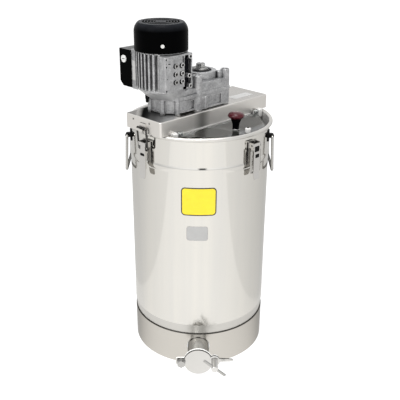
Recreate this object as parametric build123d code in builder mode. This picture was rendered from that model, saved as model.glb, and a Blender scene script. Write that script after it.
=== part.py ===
from build123d import *
from math import sin, cos, tan, radians, degrees, pi, sqrt, acos
import os

os.makedirs("parts", exist_ok=True)

# ---------------------------------------------------------------------------
# Honey creamer: stainless tank on a skirt, drive bridge across the rim with a
# gear motor, stirrer inside, clear half lids, toggle latches, drop handles and
# a swing gate on the outlet.  Millimetres, +Z up.  Origin: tank axis at the
# floor.  The outlet faces -Y; the bridge runs at 45 degrees (axis u).
# ---------------------------------------------------------------------------

# tank
TANK_R = 160.0            # outer radius of shell and skirt
SHEET = 1.2               # shell sheet
SKIRT_SHEET = 1.5
SKIRT_H = 81.5            # top of the skirt
SHELL_Z0 = 84.5           # lower edge of the shell, above the seam groove
TAPER_Z = 107.0           # the shell narrows below this height
TAPER = 2.2               # by this much at its lower edge
RIM_Z = 570.0             # top of the rolled rim
RIM_TUBE = 4.3            # radius of the rolled rim
RIM_R = 162.5             # radius of the rim's centre line
BEAD_Z, BEAD_H, BEAD_OUT = 496.0, 15.0, 1.7
SUMP_R = 45.0
FLOOR_Z = 20.0

# outlet gate
OUT_Z = 48.0              # height of the outlet axis
PIPE_R, PIPE_RI = 25.0, 23.0
SKIRT_HOLE_R = 26.8
GATE_Y = -213.5           # back face of the gate plate
GATE_T = 4.0
BLADE_GAP = 0.3
BLADE_T = 3.0
PIVOT_X, STUD_X = -39.0, 37.5
CLAMP_Z = 54.0            # height of the clamp stud

# handles
LUG_Y, LUG_R, LUG_H = 42.1, 4.7, 26.0
HANDLE_X, HANDLE_Z, HANDLE_R = 163.0, 539.0, 3.1
HANDLE_LOW_Z = 459.0
HANDLE_Y = 52.5
HANDLE_LEAN = 3.2

# latches (radius from the tank axis, height)
LATCH_A = (170.0, 543.0)  # lever pivot
LATCH_B = (171.0, 531.0)  # bail pivot on the lever
BAIL_TOP = (175.0, 580.0)
BAIL_R = 2.0
BAIL_Y = 14.3

# bridge
BRIDGE_L, BRIDGE_W, BRIDGE_H, BRIDGE_T = 341.0, 112.0, 32.0, 2.0
LIP_L, LIP_H = 288.0, 3.6  # lips of the side walls that drop inside the rim
BRIDGE_TOP = RIM_Z + BRIDGE_H

# lids
LID_TOP, LID_T = 565.5, 4.5
LID_R = 154.5
HINGE_V, HINGE_Z = -61.5, 569.5
KNOB_V = -111.5

# gear motor: distances along the bridge from the tank axis
M1, N1P, N1G = 0.8, 17, 60
M2, N2P, N2G = 1.0, 17, 52
M3, N3P, N3G = 1.25, 17, 62
A3 = M3 * (N3P + N3G) / 2
A2 = M2 * (N2P + N2G) / 2
A1 = M1 * (N1P + N1G) / 2
U_B = -A3
U_A = U_B - A2
U_M = U_A - A1            # motor axis
CASE_Z0, CASE_SPLIT, CASE_Z1 = 604.0, 630.5, 662.0
RIDGE_Z0, RIDGE_Z1 = 635.5, 642.5   # raised ridge round the upper case half
BOSS_Z1 = 678.0                     # top of the round boss on the upper case half
FLANGE_Z = 660.0
FRAME_Z1 = 738.0
COWL_Z0, COWL_Z1, COWL_R = 738.5, 795.0, 56.5

BRIDGE = Plane(origin=(0, 0, 0), x_dir=(1, 1, 0), z_dir=(0, 0, 1))


def along(u, v=0.0, z=0.0):
    """Level plane whose x runs along the bridge, set at bridge coordinates."""
    return Plane(origin=BRIDGE.from_local_coords((u, v, z)), x_dir=(1, 1, 0), z_dir=(0, 0, 1))


def facing_front(y, x=0.0, z=0.0):
    """Upright plane that faces -Y, x to the right and y up."""
    return Plane(origin=(x, y, z), x_dir=(1, 0, 0), z_dir=(0, -1, 0))


def bridge_side(v, u=0.0, z=0.0):
    """Upright plane that faces -v: x along the bridge, y up."""
    return Plane(origin=BRIDGE.from_local_coords((u, v, z)), x_dir=(1, 1, 0), z_dir=(1, -1, 0))


def bridge_end(u, v=0.0, z=0.0):
    """Upright plane that faces +u: x along v, y up."""
    return Plane(origin=BRIDGE.from_local_coords((u, v, z)), x_dir=(-1, 1, 0), z_dir=(1, 1, 0))


def gear_outline(teeth, module, phase_deg, play=0.16):
    """Corner points of an involute spur gear with short straight facets."""
    rp = module * teeth / 2
    rb = rp * cos(radians(20))
    ra = rp + module
    rf = rp - 1.25 * module
    inv = lambda a: tan(a) - a
    half = pi / (2 * teeth) - play / (2 * rp)
    radii = [max(rb, rf) + (ra - max(rb, rf)) * k / 4 for k in range(5)]
    flank = []
    for r in radii:
        a = acos(min(1.0, rb / r))
        flank.append((r, half + inv(radians(20)) - inv(a)))
    if rf < rb:
        flank.insert(0, (rf, flank[0][1]))
    points = []
    for k in range(teeth):
        mid = radians(phase_deg) + 2 * pi * k / teeth
        for r, w in flank:
            points.append((r * cos(mid - w), r * sin(mid - w)))
        for r, w in reversed(flank):
            points.append((r * cos(mid + w), r * sin(mid + w)))
    return points


# ---------------------------------------------------------------------------
# tank
# ---------------------------------------------------------------------------
ri = TANK_R - SHEET
with BuildPart() as tank_shell:
    with BuildSketch(Plane.XZ):
        with BuildLine():
            b0, b1 = BEAD_Z - BEAD_H / 2, BEAD_Z + BEAD_H / 2
            Polyline((ri - TAPER, SHELL_Z0), (TANK_R - TAPER, SHELL_Z0), (TANK_R, TAPER_Z), (TANK_R, b0))
            ThreePointArc((TANK_R, b0), (TANK_R + BEAD_OUT, BEAD_Z), (TANK_R, b1))
            Polyline((TANK_R, b1), (TANK_R, 564), (ri, 564), (ri, b1))
            ThreePointArc((ri, b1), (ri + BEAD_OUT, BEAD_Z), (ri, b0))
            Polyline((ri, b0), (ri, TAPER_Z), (ri - TAPER, SHELL_Z0))
        make_face()
        with Locations((RIM_R, RIM_Z - RIM_TUBE)):
            Circle(RIM_TUBE)
    revolve(axis=Axis.Z)

def shell_inside(z):
    """Inner radius of the shell where it narrows."""
    return ri - TAPER * (TAPER_Z - z) / (TAPER_Z - SHELL_Z0)


with BuildPart() as tank_bottom:
    with BuildSketch(Plane.XZ):
        with BuildLine():
            Polyline((0, FLOOR_Z), (SUMP_R, FLOOR_Z), (SUMP_R, 75.0), (shell_inside(92.0), 92.0), (shell_inside(105.0), 105.0),
                     (shell_inside(105.0) - 1.5, 105.0), (shell_inside(92.0) - 1.4, 93.6), (SUMP_R - 1.5, 76.6),
                     (SUMP_R - 1.5, FLOOR_Z + 1.5), (0, FLOOR_Z + 1.5), close=True)
        make_face()
    revolve(axis=Axis.Z)
    with BuildSketch(facing_front(-30, 0, OUT_Z)):
        Circle(PIPE_R)
    extrude(amount=30, mode=Mode.SUBTRACT)

with BuildPart() as base_skirt:
    with BuildSketch(Plane.XZ):
        with BuildLine():
            t = SKIRT_SHEET
            Polyline((146, 0), (TANK_R, 0), (TANK_R, SKIRT_H), (156.2, SKIRT_H), (156.2, 91.4), (154.8, 91.4),
                     (154.8, SKIRT_H - t), (TANK_R - t, SKIRT_H - t), (TANK_R - t, t), (146, t), close=True)
        make_face()
    revolve(axis=Axis.Z)
    with BuildSketch(facing_front(-130, 0, OUT_Z)):
        Circle(SKIRT_HOLE_R)
    extrude(amount=40, mode=Mode.SUBTRACT)

# ---------------------------------------------------------------------------
# outlet and gate
# ---------------------------------------------------------------------------
with BuildPart() as outlet_pipe:
    with BuildSketch(facing_front(-30, 0, OUT_Z)):
        Circle(PIPE_R)
        Circle(PIPE_RI, mode=Mode.SUBTRACT)
    extrude(amount=-30 - GATE_Y)

with BuildPart() as gate_body:
    with BuildSketch(facing_front(GATE_Y, 0, OUT_Z)):
        Circle(33.5)
        with Locations((-2.5, 0)):
            RectangleRounded(99, 19, 6)
        with Locations((STUD_X, CLAMP_Z - OUT_Z)):
            Circle(10.5)
        Circle(PIPE_RI, mode=Mode.SUBTRACT)
        with Locations((PIVOT_X, 0), (STUD_X, CLAMP_Z - OUT_Z)):
            Circle(4.0, mode=Mode.SUBTRACT)
    extrude(amount=GATE_T)
    with BuildSketch(facing_front(GATE_Y - GATE_T + 2.0, 0, OUT_Z)):
        Circle(29.5)
        Circle(26.0, mode=Mode.SUBTRACT)
    extrude(amount=2.0, mode=Mode.SUBTRACT)

with BuildPart() as gate_seal:
    with BuildSketch(facing_front(GATE_Y - GATE_T + 2.0, 0, OUT_Z)):
        Circle(29.5)
        Circle(26.0, mode=Mode.SUBTRACT)
    extrude(amount=2.0)

blade_y = GATE_Y - GATE_T - BLADE_GAP
with BuildPart() as gate_blade:
    with BuildSketch(facing_front(blade_y, 0, OUT_Z)):
        Circle(32.5)
        with Locations((PIVOT_X, 0)):
            Circle(9.5)
        with Locations(((PIVOT_X - 20) / 2, 0)):
            Rectangle(-20 - PIVOT_X, 17)
        with BuildLine():
            Polyline((20, -6.0), (48, -6.0), (50, 1.5), (78, 3.0), (80.5, 5.5), (79, 8.6), (50, 10.5), (20, 10.5), close=True)
        make_face()
        with Locations((STUD_X, CLAMP_Z - OUT_Z)):
            Circle(12.0)
        with Locations((PIVOT_X, 0)):
            Circle(5.06, mode=Mode.SUBTRACT)
        with Locations((STUD_X, CLAMP_Z - OUT_Z)):
            Circle(4.9, mode=Mode.SUBTRACT)
        with Locations((STUD_X, CLAMP_Z - OUT_Z - 15)):
            Rectangle(9.8, 30, mode=Mode.SUBTRACT)
    extrude(amount=BLADE_T)

front_y = blade_y - BLADE_T
with BuildPart() as gate_pivot_bolt:
    with BuildSketch(facing_front(GATE_Y, PIVOT_X, OUT_Z)):
        Circle(4.0)
    extrude(amount=GATE_T)
    with BuildSketch(facing_front(GATE_Y - GATE_T, PIVOT_X, OUT_Z)):
        Circle(5.0)
    extrude(amount=BLADE_T + 2 * BLADE_GAP)
    with BuildSketch(facing_front(front_y - BLADE_GAP, PIVOT_X, OUT_Z)):
        Circle(10.0)
    extrude(amount=2.0)
    with BuildSketch(facing_front(front_y - BLADE_GAP - 2.0, PIVOT_X, OUT_Z)):
        RegularPolygon(9.6, 6, rotation=30)
    extrude(amount=7.0)

with BuildPart() as gate_clamp_stud:
    with BuildSketch(facing_front(GATE_Y + 6.0, STUD_X, CLAMP_Z)):
        RegularPolygon(7.5, 6)
    extrude(amount=6.0)
    with BuildSketch(facing_front(GATE_Y, STUD_X, CLAMP_Z)):
        Circle(4.0)
    extrude(amount=31.0)

with BuildPart() as gate_clamp_washer:
    with BuildSketch(facing_front(front_y - BLADE_GAP, STUD_X, CLAMP_Z)):
        Circle(10.5)
        Circle(4.08, mode=Mode.SUBTRACT)
    extrude(amount=2.0)

nut_y = front_y - BLADE_GAP - 2.0 - 0.3
TEE_ANGLE, TEE_Y = -40.0, 26.0
with BuildPart() as gate_clamp_nut:
    with BuildSketch(facing_front(nut_y, STUD_X, CLAMP_Z)):
        Circle(7.3)
    extrude(amount=32.0)
    chamfer(gate_clamp_nut.edges().filter_by(GeomType.CIRCLE), 0.8)
    with BuildSketch(facing_front(nut_y, STUD_X, CLAMP_Z)):
        Circle(4.08)
    extrude(amount=22.4, mode=Mode.SUBTRACT)
    with Locations(Location((STUD_X, nut_y - TEE_Y, CLAMP_Z), (0, 90 - TEE_ANGLE, 0))):
        Cylinder(3.0, 30, mode=Mode.SUBTRACT)

with BuildPart() as gate_tee_bar:
    with Locations(Location((STUD_X, nut_y - TEE_Y, CLAMP_Z), (0, 90 - TEE_ANGLE, 0))):
        Cylinder(3.0, 63)
    fillet(gate_tee_bar.edges().filter_by(GeomType.CIRCLE), 1.2)

# ---------------------------------------------------------------------------
# drop handles
# ---------------------------------------------------------------------------
with BuildPart() as handle_lugs:
    with BuildSketch(Plane.XY.offset(HANDLE_Z - LUG_H / 2)):
        Circle(TANK_R + 2.4)
        Circle(TANK_R, mode=Mode.SUBTRACT)
        with Locations((155, LUG_Y)):
            Rectangle(60, 10.4, mode=Mode.INTERSECT)
    extrude(amount=LUG_H)
    with BuildSketch(facing_front(LUG_Y + 5.1, 0, HANDLE_Z)):
        with Locations((HANDLE_X - 6.5, 0)):
            Rectangle(13, 2 * LUG_R)
        with Locations((HANDLE_X, 0)):
            Circle(LUG_R)
    extrude(amount=10.2)
    with Locations((0, 0, HANDLE_Z)):
        Cylinder(TANK_R, 60, mode=Mode.SUBTRACT)
    with BuildSketch(facing_front(LUG_Y + 8, HANDLE_X, HANDLE_Z)):
        Circle(HANDLE_R + 0.08)
    extrude(amount=16, mode=Mode.SUBTRACT)
    mirror(about=Plane.XZ)
    mirror(about=Plane.YZ)


def bail_handle(side):
    """Bent rod that hangs from two lugs, its lower bar a little further out."""
    x, zt, zl, y = side * HANDLE_X, HANDLE_Z, HANDLE_LOW_Z, HANDLE_Y
    xl = side * (HANDLE_X + HANDLE_LEAN)
    with BuildPart() as rod:
        with BuildLine():
            FilletPolyline((x, 34.5, zt), (x, y, zt), (xl, y, zl), (xl, -y, zl), (x, -y, zt), (x, -34.5, zt), radius=5.0)
        with BuildSketch(Plane(origin=(x, 34.5, zt), x_dir=(1, 0, 0), z_dir=(0, 1, 0))):
            Circle(HANDLE_R)
        sweep()
    return rod


handle_left = bail_handle(-1)
handle_right = bail_handle(1)

# ---------------------------------------------------------------------------
# toggle latches: modelled once on the +X side, then placed on the diagonals
# ---------------------------------------------------------------------------
ar, az = LATCH_A
br, bz = LATCH_B
with BuildPart() as latch_base_x:
    with BuildSketch(Plane.XY.offset(504)):
        Circle(TANK_R + 2.4)
        Circle(TANK_R, mode=Mode.SUBTRACT)
        with Locations((155, 0)):
            Rectangle(60, 27, mode=Mode.INTERSECT)
    extrude(amount=47)
    for y0 in (12.0, -10.4):
        with BuildSketch(facing_front(y0, 0, 0)):
            with Locations(((161.5 + ar) / 2, az)):
                Rectangle(ar - 161.5, 12)
            with Locations((ar, az)):
                Circle(6.0)
                Circle(2.0, mode=Mode.SUBTRACT)
        extrude(amount=1.6)

with BuildPart() as latch_bases:
    with PolarLocations(0, 4, start_angle=45):
        add(latch_base_x.part)

with BuildPart() as latch_pin_x:
    with BuildSketch(facing_front(12.0, ar, az)):
        Circle(2.0)
    extrude(amount=24.0)

with BuildPart() as latch_pins:
    with PolarLocations(0, 4, start_angle=45):
        add(latch_pin_x.part)

with BuildPart() as latch_lever_x:
    with BuildSketch(facing_front(10.0, 0, 0)):
        with BuildLine():
            Polyline((173.6, 548), (175.2, 548), (175.2, 479.6), (178.0, 466.4), (176.5, 466.0), (173.6, 479.4), close=True)
        make_face()
    extrude(amount=20.0)
    for y0 in (10.0, -8.0):
        with BuildSketch(facing_front(y0, 0, 0)):
            with BuildLine():
                Polyline((165.5, 542), (166.6, 546.8), (168.5, 548), (174.2, 548), (174.2, 488), (171.8, 490), (171.6, 521),
                         (166.8, 527.5), close=True)
            make_face()
            with Locations((ar, az), (br, bz)):
                Circle(2.06, mode=Mode.SUBTRACT)
        extrude(amount=2.0)
    tip = latch_lever_x.edges().filter_by(lambda e: e.center().Z < 468 and abs(abs(e.center().Y) - 10) < 0.01)
    fillet(tip, 5.0)


def latch_bail_x(end):
    """Wire loop from the lever's side holes to the point `end` (radius, height)."""
    er, ez = end
    with BuildPart() as loop:
        with BuildLine():
            FilletPolyline((br, 7.0, bz), (br, BAIL_Y, bz), (er, BAIL_Y, ez), (er, -BAIL_Y, ez), (br, -BAIL_Y, bz),
                           (br, -7.0, bz), radius=3.4)
        with BuildSketch(Plane(origin=(br, 7.0, bz), x_dir=(1, 0, 0), z_dir=(0, 1, 0))):
            Circle(BAIL_R)
        sweep()
    return loop


bail_hooked_x = latch_bail_x(BAIL_TOP)
bail_down_x = latch_bail_x((br + 0.2, bz - 49.0))


def around(piece, angle):
    with BuildPart() as placed:
        with Locations(Location((0, 0, 0), (0, 0, angle))):
            add(piece.part)
    return placed


latch_lever_front_left = around(latch_lever_x, 225)
latch_lever_front_right = around(latch_lever_x, 315)
latch_lever_back_right = around(latch_lever_x, 45)
latch_lever_back_left = around(latch_lever_x, 135)
latch_bail_front_left = around(bail_hooked_x, 225)
latch_bail_back_right = around(bail_hooked_x, 45)
latch_bail_front_right = around(bail_down_x, 315)
latch_bail_back_left = around(bail_down_x, 135)

half_l = BRIDGE_L / 2
with BuildPart() as keeper_x:
    with BuildSketch(facing_front(9.5, 0, 0)):
        with BuildLine():
            Polyline((half_l, 572), (half_l + 1.6, 572), (half_l + 1.6, 574.7), (half_l + 10.9, 574.7), (half_l + 10.9, 579.6),
                     (half_l + 8.9, 579.6), (half_l + 8.9, 577.7), (half_l + 1.6, 577.7), (half_l + 1.6, 590),
                     (half_l, 590), close=True)
        make_face()
    extrude(amount=19.0)

with BuildPart() as latch_keepers:
    with PolarLocations(0, 2, start_angle=45):
        add(keeper_x.part)

# ---------------------------------------------------------------------------
# drive bridge
# ---------------------------------------------------------------------------
POSTS = [(-50.0, -42.0), (-50.0, 42.0), (40.0, -38.0), (40.0, 38.0)]
with BuildPart() as drive_bridge:
    with BuildSketch(BRIDGE.offset(RIM_Z)):
        RectangleRounded(BRIDGE_L, BRIDGE_W, 4)
    extrude(amount=BRIDGE_H)
    fillet(drive_bridge.faces().sort_by(Axis.Z)[-1].edges(), 3.0)
    with BuildSketch(BRIDGE.offset(RIM_Z)):
        RectangleRounded(BRIDGE_L - 2 * BRIDGE_T, BRIDGE_W - 2 * BRIDGE_T, 2)
    extrude(amount=BRIDGE_H - BRIDGE_T, mode=Mode.SUBTRACT)
    with BuildSketch(BRIDGE.offset(RIM_Z - LIP_H)):
        with Locations((0, BRIDGE_W / 2 - 1), (0, 1 - BRIDGE_W / 2)):
            Rectangle(LIP_L, BRIDGE_T)
    extrude(amount=LIP_H + 2)
    with BuildSketch(BRIDGE.offset(RIM_Z + 20)):
        Circle(22)
        with Locations(*POSTS):
            Circle(4.0)
    extrude(amount=20, mode=Mode.SUBTRACT)

# ---------------------------------------------------------------------------
# lids: front one modelled at -v, back one is the same turned half round
# ---------------------------------------------------------------------------
lid_low = LID_TOP - LID_T
with BuildPart() as lid_front:
    with BuildSketch(BRIDGE.offset(lid_low)):
        with BuildLine():
            x1, x2 = 129.5, 66.0
            yc = -sqrt(LID_R ** 2 - x2 ** 2)
            Polyline((-x2, yc), (-x1, HINGE_V - 0.5), (x1, HINGE_V - 0.5), (x2, yc))
            ThreePointArc((x2, yc), (0, -LID_R), (-x2, yc))
        make_face()
    extrude(amount=LID_T)
    for u0 in (116.0, -129.0):
        with BuildSketch(bridge_end(u0, HINGE_V, HINGE_Z)):
            Circle(4.0)
            with Locations((-2.0, -2.5)):
                Rectangle(4.0, 5.0)
        extrude(amount=13.0)
        with BuildSketch(bridge_end(u0 - 1, HINGE_V, HINGE_Z)):
            Circle(2.56)
        extrude(amount=15.0, mode=Mode.SUBTRACT)

with BuildPart() as lid_front_bumper:
    with BuildSketch(along(3.0, -144.5, LID_TOP)):
        Circle(6.6)
    extrude(amount=9.0)
    fillet(lid_front_bumper.faces().sort_by(Axis.Z)[-1].edges(), 3.0)

with BuildPart() as knob_front_stem:
    with BuildSketch(Plane(origin=BRIDGE.from_local_coords((0, KNOB_V, LID_TOP)), x_dir=(1, 1, 0), z_dir=(1, -1, 0))):
        with BuildLine():
            Polyline((0, 0), (8.0, 0), (8.0, 2.0), (7.2, 2.6), (7.6, 8.0))
            ThreePointArc((7.6, 8.0), (9.5, 17.0), (13.5, 25.0))
            Polyline((13.5, 25.0), (0, 25.0), (0, 0))
        make_face()
    revolve(axis=Axis(BRIDGE.from_local_coords((0, KNOB_V, 0)), (0, 0, 1)))

with BuildPart() as knob_front_cap:
    with BuildSketch(Plane(origin=BRIDGE.from_local_coords((0, KNOB_V, LID_TOP)), x_dir=(1, 1, 0), z_dir=(1, -1, 0))):
        with BuildLine():
            Polyline((0, 25.0), (13.5, 25.0))
            ThreePointArc((13.5, 25.0), (17.0, 27.2), (18.3, 30.2))
            ThreePointArc((18.3, 30.2), (16.6, 34.0), (12.4, 36.4))
            ThreePointArc((12.4, 36.4), (7.2, 37.8), (1.6, 38.3))
            Polyline((1.6, 38.3), (0, 38.3), (0, 25.0))
        make_face()
    revolve(axis=Axis(BRIDGE.from_local_coords((0, KNOB_V, 0)), (0, 0, 1)))


def half_round(piece):
    with BuildPart() as placed:
        with Locations(Location((0, 0, 0), (0, 0, 180))):
            add(piece.part)
    return placed


lid_back = half_round(lid_front)
lid_back_bumper = half_round(lid_front_bumper)
knob_back_stem = half_round(knob_front_stem)
knob_back_cap = half_round(knob_front_cap)

half_w = -BRIDGE_W / 2
with BuildPart() as lid_bracket_front:
    with BuildSketch(bridge_end(130.0)):
        with BuildLine():
            Polyline((half_w, 574.5), (half_w - 8.5, 574.5), (half_w - 10.5, 572.5), (half_w - 10.5, 557.0),
                     (half_w - 6.0, 551.0), (half_w, 551.0), close=True)
        make_face()
    extrude(amount=12.5)
    with BuildSketch(bridge_end(120.0, HINGE_V, HINGE_Z)):
        Circle(2.5)
    extrude(amount=40, mode=Mode.SUBTRACT)

with BuildPart() as lid_hinge_brackets:
    with PolarLocations(0, 2):
        add(lid_bracket_front.part)

with BuildPart() as lid_clip_front:
    with BuildSketch(bridge_end(-142.0)):
        with BuildLine():
            Polyline((half_w, 573.8), (HINGE_V - 2.0, 573.8), (HINGE_V - 4.4, 571.4), (HINGE_V - 4.4, 565.0), (half_w, 565.0),
                     close=True)
        make_face()
    extrude(amount=11.0)
    with BuildSketch(bridge_end(-150.0, HINGE_V, HINGE_Z)):
        Circle(2.5)
    extrude(amount=40, mode=Mode.SUBTRACT)

with BuildPart() as lid_hinge_clips:
    with PolarLocations(0, 2):
        add(lid_clip_front.part)

with BuildPart() as lid_pin_front:
    for u0, reach in ((116.0, 26.0), (-142.0, 26.0)):
        with BuildSketch(bridge_end(u0, HINGE_V, HINGE_Z)):
            Circle(2.5)
        extrude(amount=reach)

with BuildPart() as lid_hinge_pins:
    with PolarLocations(0, 2):
        add(lid_pin_front.part)

# ---------------------------------------------------------------------------
# gear case
# ---------------------------------------------------------------------------
LEFT_U, LEFT_R = -88.0, 46.0
BLOCK_U0, BLOCK_U1, BLOCK_V = -58.0, 49.0, 47.0
block_mid, block_len = (BLOCK_U0 + BLOCK_U1) / 2, BLOCK_U1 - BLOCK_U0
CAVITY_Z0, CAVITY_Z1 = 611.0, 649.5
COLUMN_R = LEFT_R + 2.0
COLUMNS = [(LEFT_U + COLUMN_R * cos(radians(a)), COLUMN_R * sin(radians(a))) for a in (118, 156, 204, 242)]
BEARING_R = 23.5
SHAFT_R, BORE_R = 17.0, 12.5
SHAFT_Z1 = 680.5                    # top of the hollow shaft


NECK_U, NECK_R, NECK_Z0, NECK_Z1 = -94.0, 48.0, 637.5, 656.5   # slanted neck below the motor flange
CASE_BOSS = (27.5, 32.5)            # small round bosses beside the posts at the free end
POCKETS = [(166.0, 194.0), (214.0, 232.0), (128.0, 146.0)]   # shallow pockets between the columns, degrees
POCKET_Z0, POCKET_D = 612.0, 1.4


def left_point(r, a):
    """Point at radius r and angle a about the round end of the gear case."""
    return (LEFT_U + r * cos(radians(a)), r * sin(radians(a)))


def case_cavity():
    Circle(41.0)
    with Locations((LEFT_U / 2, 0)):
        Rectangle(-LEFT_U, 79)
    with Locations((LEFT_U, 0)):
        Circle(39.5)


with BuildPart() as gear_case_lower:
    with BuildSketch(BRIDGE.offset(CASE_Z0)):
        with Locations((block_mid, 0)):
            RectangleRounded(block_len, 2 * BLOCK_V, 6)
    extrude(amount=CASE_SPLIT - CASE_Z0)
    with BuildSketch(BRIDGE.offset(607.0)):
        with Locations((LEFT_U, 0)):
            Circle(LEFT_R)
        with Locations(((LEFT_U + BLOCK_U0 + 4) / 2, 0)):
            Rectangle(BLOCK_U0 + 4 - LEFT_U, 2 * LEFT_R)
        with Locations(*COLUMNS):
            Circle(5.5)
    extrude(amount=CASE_SPLIT - 607.0)
    with BuildSketch(BRIDGE.offset(CASE_Z0 - 2.0)):
        with Locations(*POSTS):
            Circle(9.0)
    extrude(amount=2.0)
    with BuildSketch(BRIDGE.offset(POCKET_Z0)):
        for a0, a1 in POCKETS:
            with BuildLine():
                r0, r1, am = LEFT_R - POCKET_D, LEFT_R + 3.0, (a0 + a1) / 2
                ThreePointArc(left_point(r0, a0), left_point(r0, am), left_point(r0, a1))
                Line(left_point(r0, a1), left_point(r1, a1))
                ThreePointArc(left_point(r1, a1), left_point(r1, am), left_point(r1, a0))
                Line(left_point(r1, a0), left_point(r0, a0))
            make_face()
    extrude(amount=CASE_SPLIT - POCKET_Z0, mode=Mode.SUBTRACT)
    with BuildSketch(BRIDGE.offset(608.0)):
        with Locations((-1.2, BLOCK_V), (-1.2, -BLOCK_V)):
            Rectangle(41.5, 5.0)
    extrude(amount=21.0, mode=Mode.SUBTRACT)
    with BuildSketch(BRIDGE.offset(610.5)):
        with Locations((-68.5, LEFT_R), (-68.5, -LEFT_R)):
            Rectangle(10.5, 7.0)
    extrude(amount=18.5, mode=Mode.SUBTRACT)
    with BuildSketch(BRIDGE.offset(CASE_Z0)):
        with Locations((-29.0, BLOCK_V - 0.5), (-29.0, 0.5 - BLOCK_V)):
            Circle(3.0)
    extrude(amount=CASE_SPLIT - CASE_Z0)
    with BuildSketch(BRIDGE.offset(CAVITY_Z0)):
        case_cavity()
    extrude(amount=CASE_SPLIT - CAVITY_Z0, mode=Mode.SUBTRACT)
    with BuildSketch(BRIDGE.offset(CASE_Z0)):
        with Locations(*POSTS):
            Circle(10.0)
    extrude(amount=CASE_SPLIT - CASE_Z0)
    with BuildSketch(BRIDGE.offset(CAVITY_Z0)):
        with Locations((U_A, 0)):
            Circle(9.0)
    extrude(amount=9.0)
    with BuildSketch(BRIDGE.offset(600.0)):
        Circle(BEARING_R)
        with Locations(*POSTS):
            Circle(4.0)
        with Locations(*COLUMNS):
            Circle(3.0)
    extrude(amount=CASE_SPLIT - 600.0, mode=Mode.SUBTRACT)
    with BuildSketch(BRIDGE.offset(608.5)):
        with Locations((U_A, 0)):
            Circle(5.06)
    extrude(amount=20, mode=Mode.SUBTRACT)
    with BuildSketch(BRIDGE.offset(606.0)):
        with Locations((U_B, 0)):
            Circle(6.06)
    extrude(amount=20, mode=Mode.SUBTRACT)

with BuildPart() as gear_case_upper:
    with BuildSketch(BRIDGE.offset(CASE_SPLIT)):
        with Locations((block_mid, 0)):
            RectangleRounded(block_len, 2 * BLOCK_V, 6)
    extrude(amount=CASE_Z1 - CASE_SPLIT)
    with BuildSketch(BRIDGE.offset(CASE_SPLIT)):
        with Locations((LEFT_U, 0)):
            Circle(LEFT_R)
        with Locations(((LEFT_U + BLOCK_U0 + 4) / 2, 0)):
            Rectangle(BLOCK_U0 + 4 - LEFT_U, 2 * LEFT_R)
    extrude(amount=654.0 - CASE_SPLIT)
    with BuildSketch(BRIDGE.offset(CASE_SPLIT)):
        with Locations(*COLUMNS):
            Circle(5.5)
    extrude(amount=RIDGE_Z1 - CASE_SPLIT)
    with BuildSketch(BRIDGE.offset(RIDGE_Z0)):
        with Locations((block_mid, 0)):
            RectangleRounded(block_len + 2, 2 * BLOCK_V + 3, 7)
        with Locations((LEFT_U, 0)):
            Circle(LEFT_R + 5.0)
        with Locations(((LEFT_U + BLOCK_U0 + 4) / 2, 0)):
            Rectangle(BLOCK_U0 + 4 - LEFT_U, 2 * LEFT_R + 10.0)
    extrude(amount=RIDGE_Z1 - RIDGE_Z0)
    with BuildSketch(along(NECK_U, 0, NECK_Z0)):
        Circle(NECK_R)
    with BuildSketch(along(U_M, 0, NECK_Z1)):
        Circle(50.5)
    loft()
    with BuildSketch(along(U_M, 0, NECK_Z1)):
        Circle(50.5)
    extrude(amount=FLANGE_Z - NECK_Z1)
    with BuildSketch(BRIDGE.offset(CASE_SPLIT)):
        with Locations(*POSTS):
            Circle(10.0)
    extrude(amount=679.0 - CASE_SPLIT)
    with BuildSketch(BRIDGE.offset(CASE_Z1)):
        Circle(36.0)
    extrude(amount=BOSS_Z1 - CASE_Z1)
    with BuildSketch(BRIDGE.offset(CASE_Z1)):
        with Locations(CASE_BOSS, (CASE_BOSS[0], -CASE_BOSS[1])):
            Circle(7.2)
    extrude(amount=15.0)
    with BuildSketch(BRIDGE.offset(CASE_SPLIT)):
        case_cavity()
        with Locations((U_M, 0)):
            Circle(16.0)
    extrude(amount=CAVITY_Z1 - CASE_SPLIT, mode=Mode.SUBTRACT)
    with BuildSketch(BRIDGE.offset(CASE_SPLIT)):
        with Locations(*POSTS):
            Circle(10.0)
    extrude(amount=CAVITY_Z1 - CASE_SPLIT)
    with BuildSketch(BRIDGE.offset(CASE_SPLIT)):
        with Locations(*POSTS):
            Circle(4.0)
        with Locations(*COLUMNS):
            Circle(3.0)
    extrude(amount=15.0, mode=Mode.SUBTRACT)
    with BuildSketch(BRIDGE.offset(640.0)):
        Circle(BEARING_R)
        with Locations((U_M, 0)):
            Circle(15.0)
    extrude(amount=22.0, mode=Mode.SUBTRACT)
    with BuildSketch(BRIDGE.offset(660.0)):
        Circle(SHAFT_R + 1.2)
    extrude(amount=20.0, mode=Mode.SUBTRACT)
    with BuildSketch(BRIDGE.offset(645.0)):
        with Locations((U_A, 0)):
            Circle(5.06)
    extrude(amount=10.0, mode=Mode.SUBTRACT)
    with BuildSketch(BRIDGE.offset(645.0)):
        with Locations((U_B, 0)):
            Circle(6.06)
    extrude(amount=12.0, mode=Mode.SUBTRACT)

with BuildPart() as gear_case_bolts:
    with BuildSketch(BRIDGE.offset(593.5)):
        with Locations(*POSTS):
            RegularPolygon(7.4, 6)
    extrude(amount=6.5)
    with BuildSketch(BRIDGE.offset(600.0)):
        with Locations(*POSTS):
            Circle(4.0)
    extrude(amount=44.0)
    with BuildSketch(BRIDGE.offset(602.8)):
        with Locations(*COLUMNS):
            RegularPolygon(5.6, 6)
    extrude(amount=4.2)
    with BuildSketch(BRIDGE.offset(607.0)):
        with Locations(*COLUMNS):
            Circle(3.0)
    extrude(amount=38.0)

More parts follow.
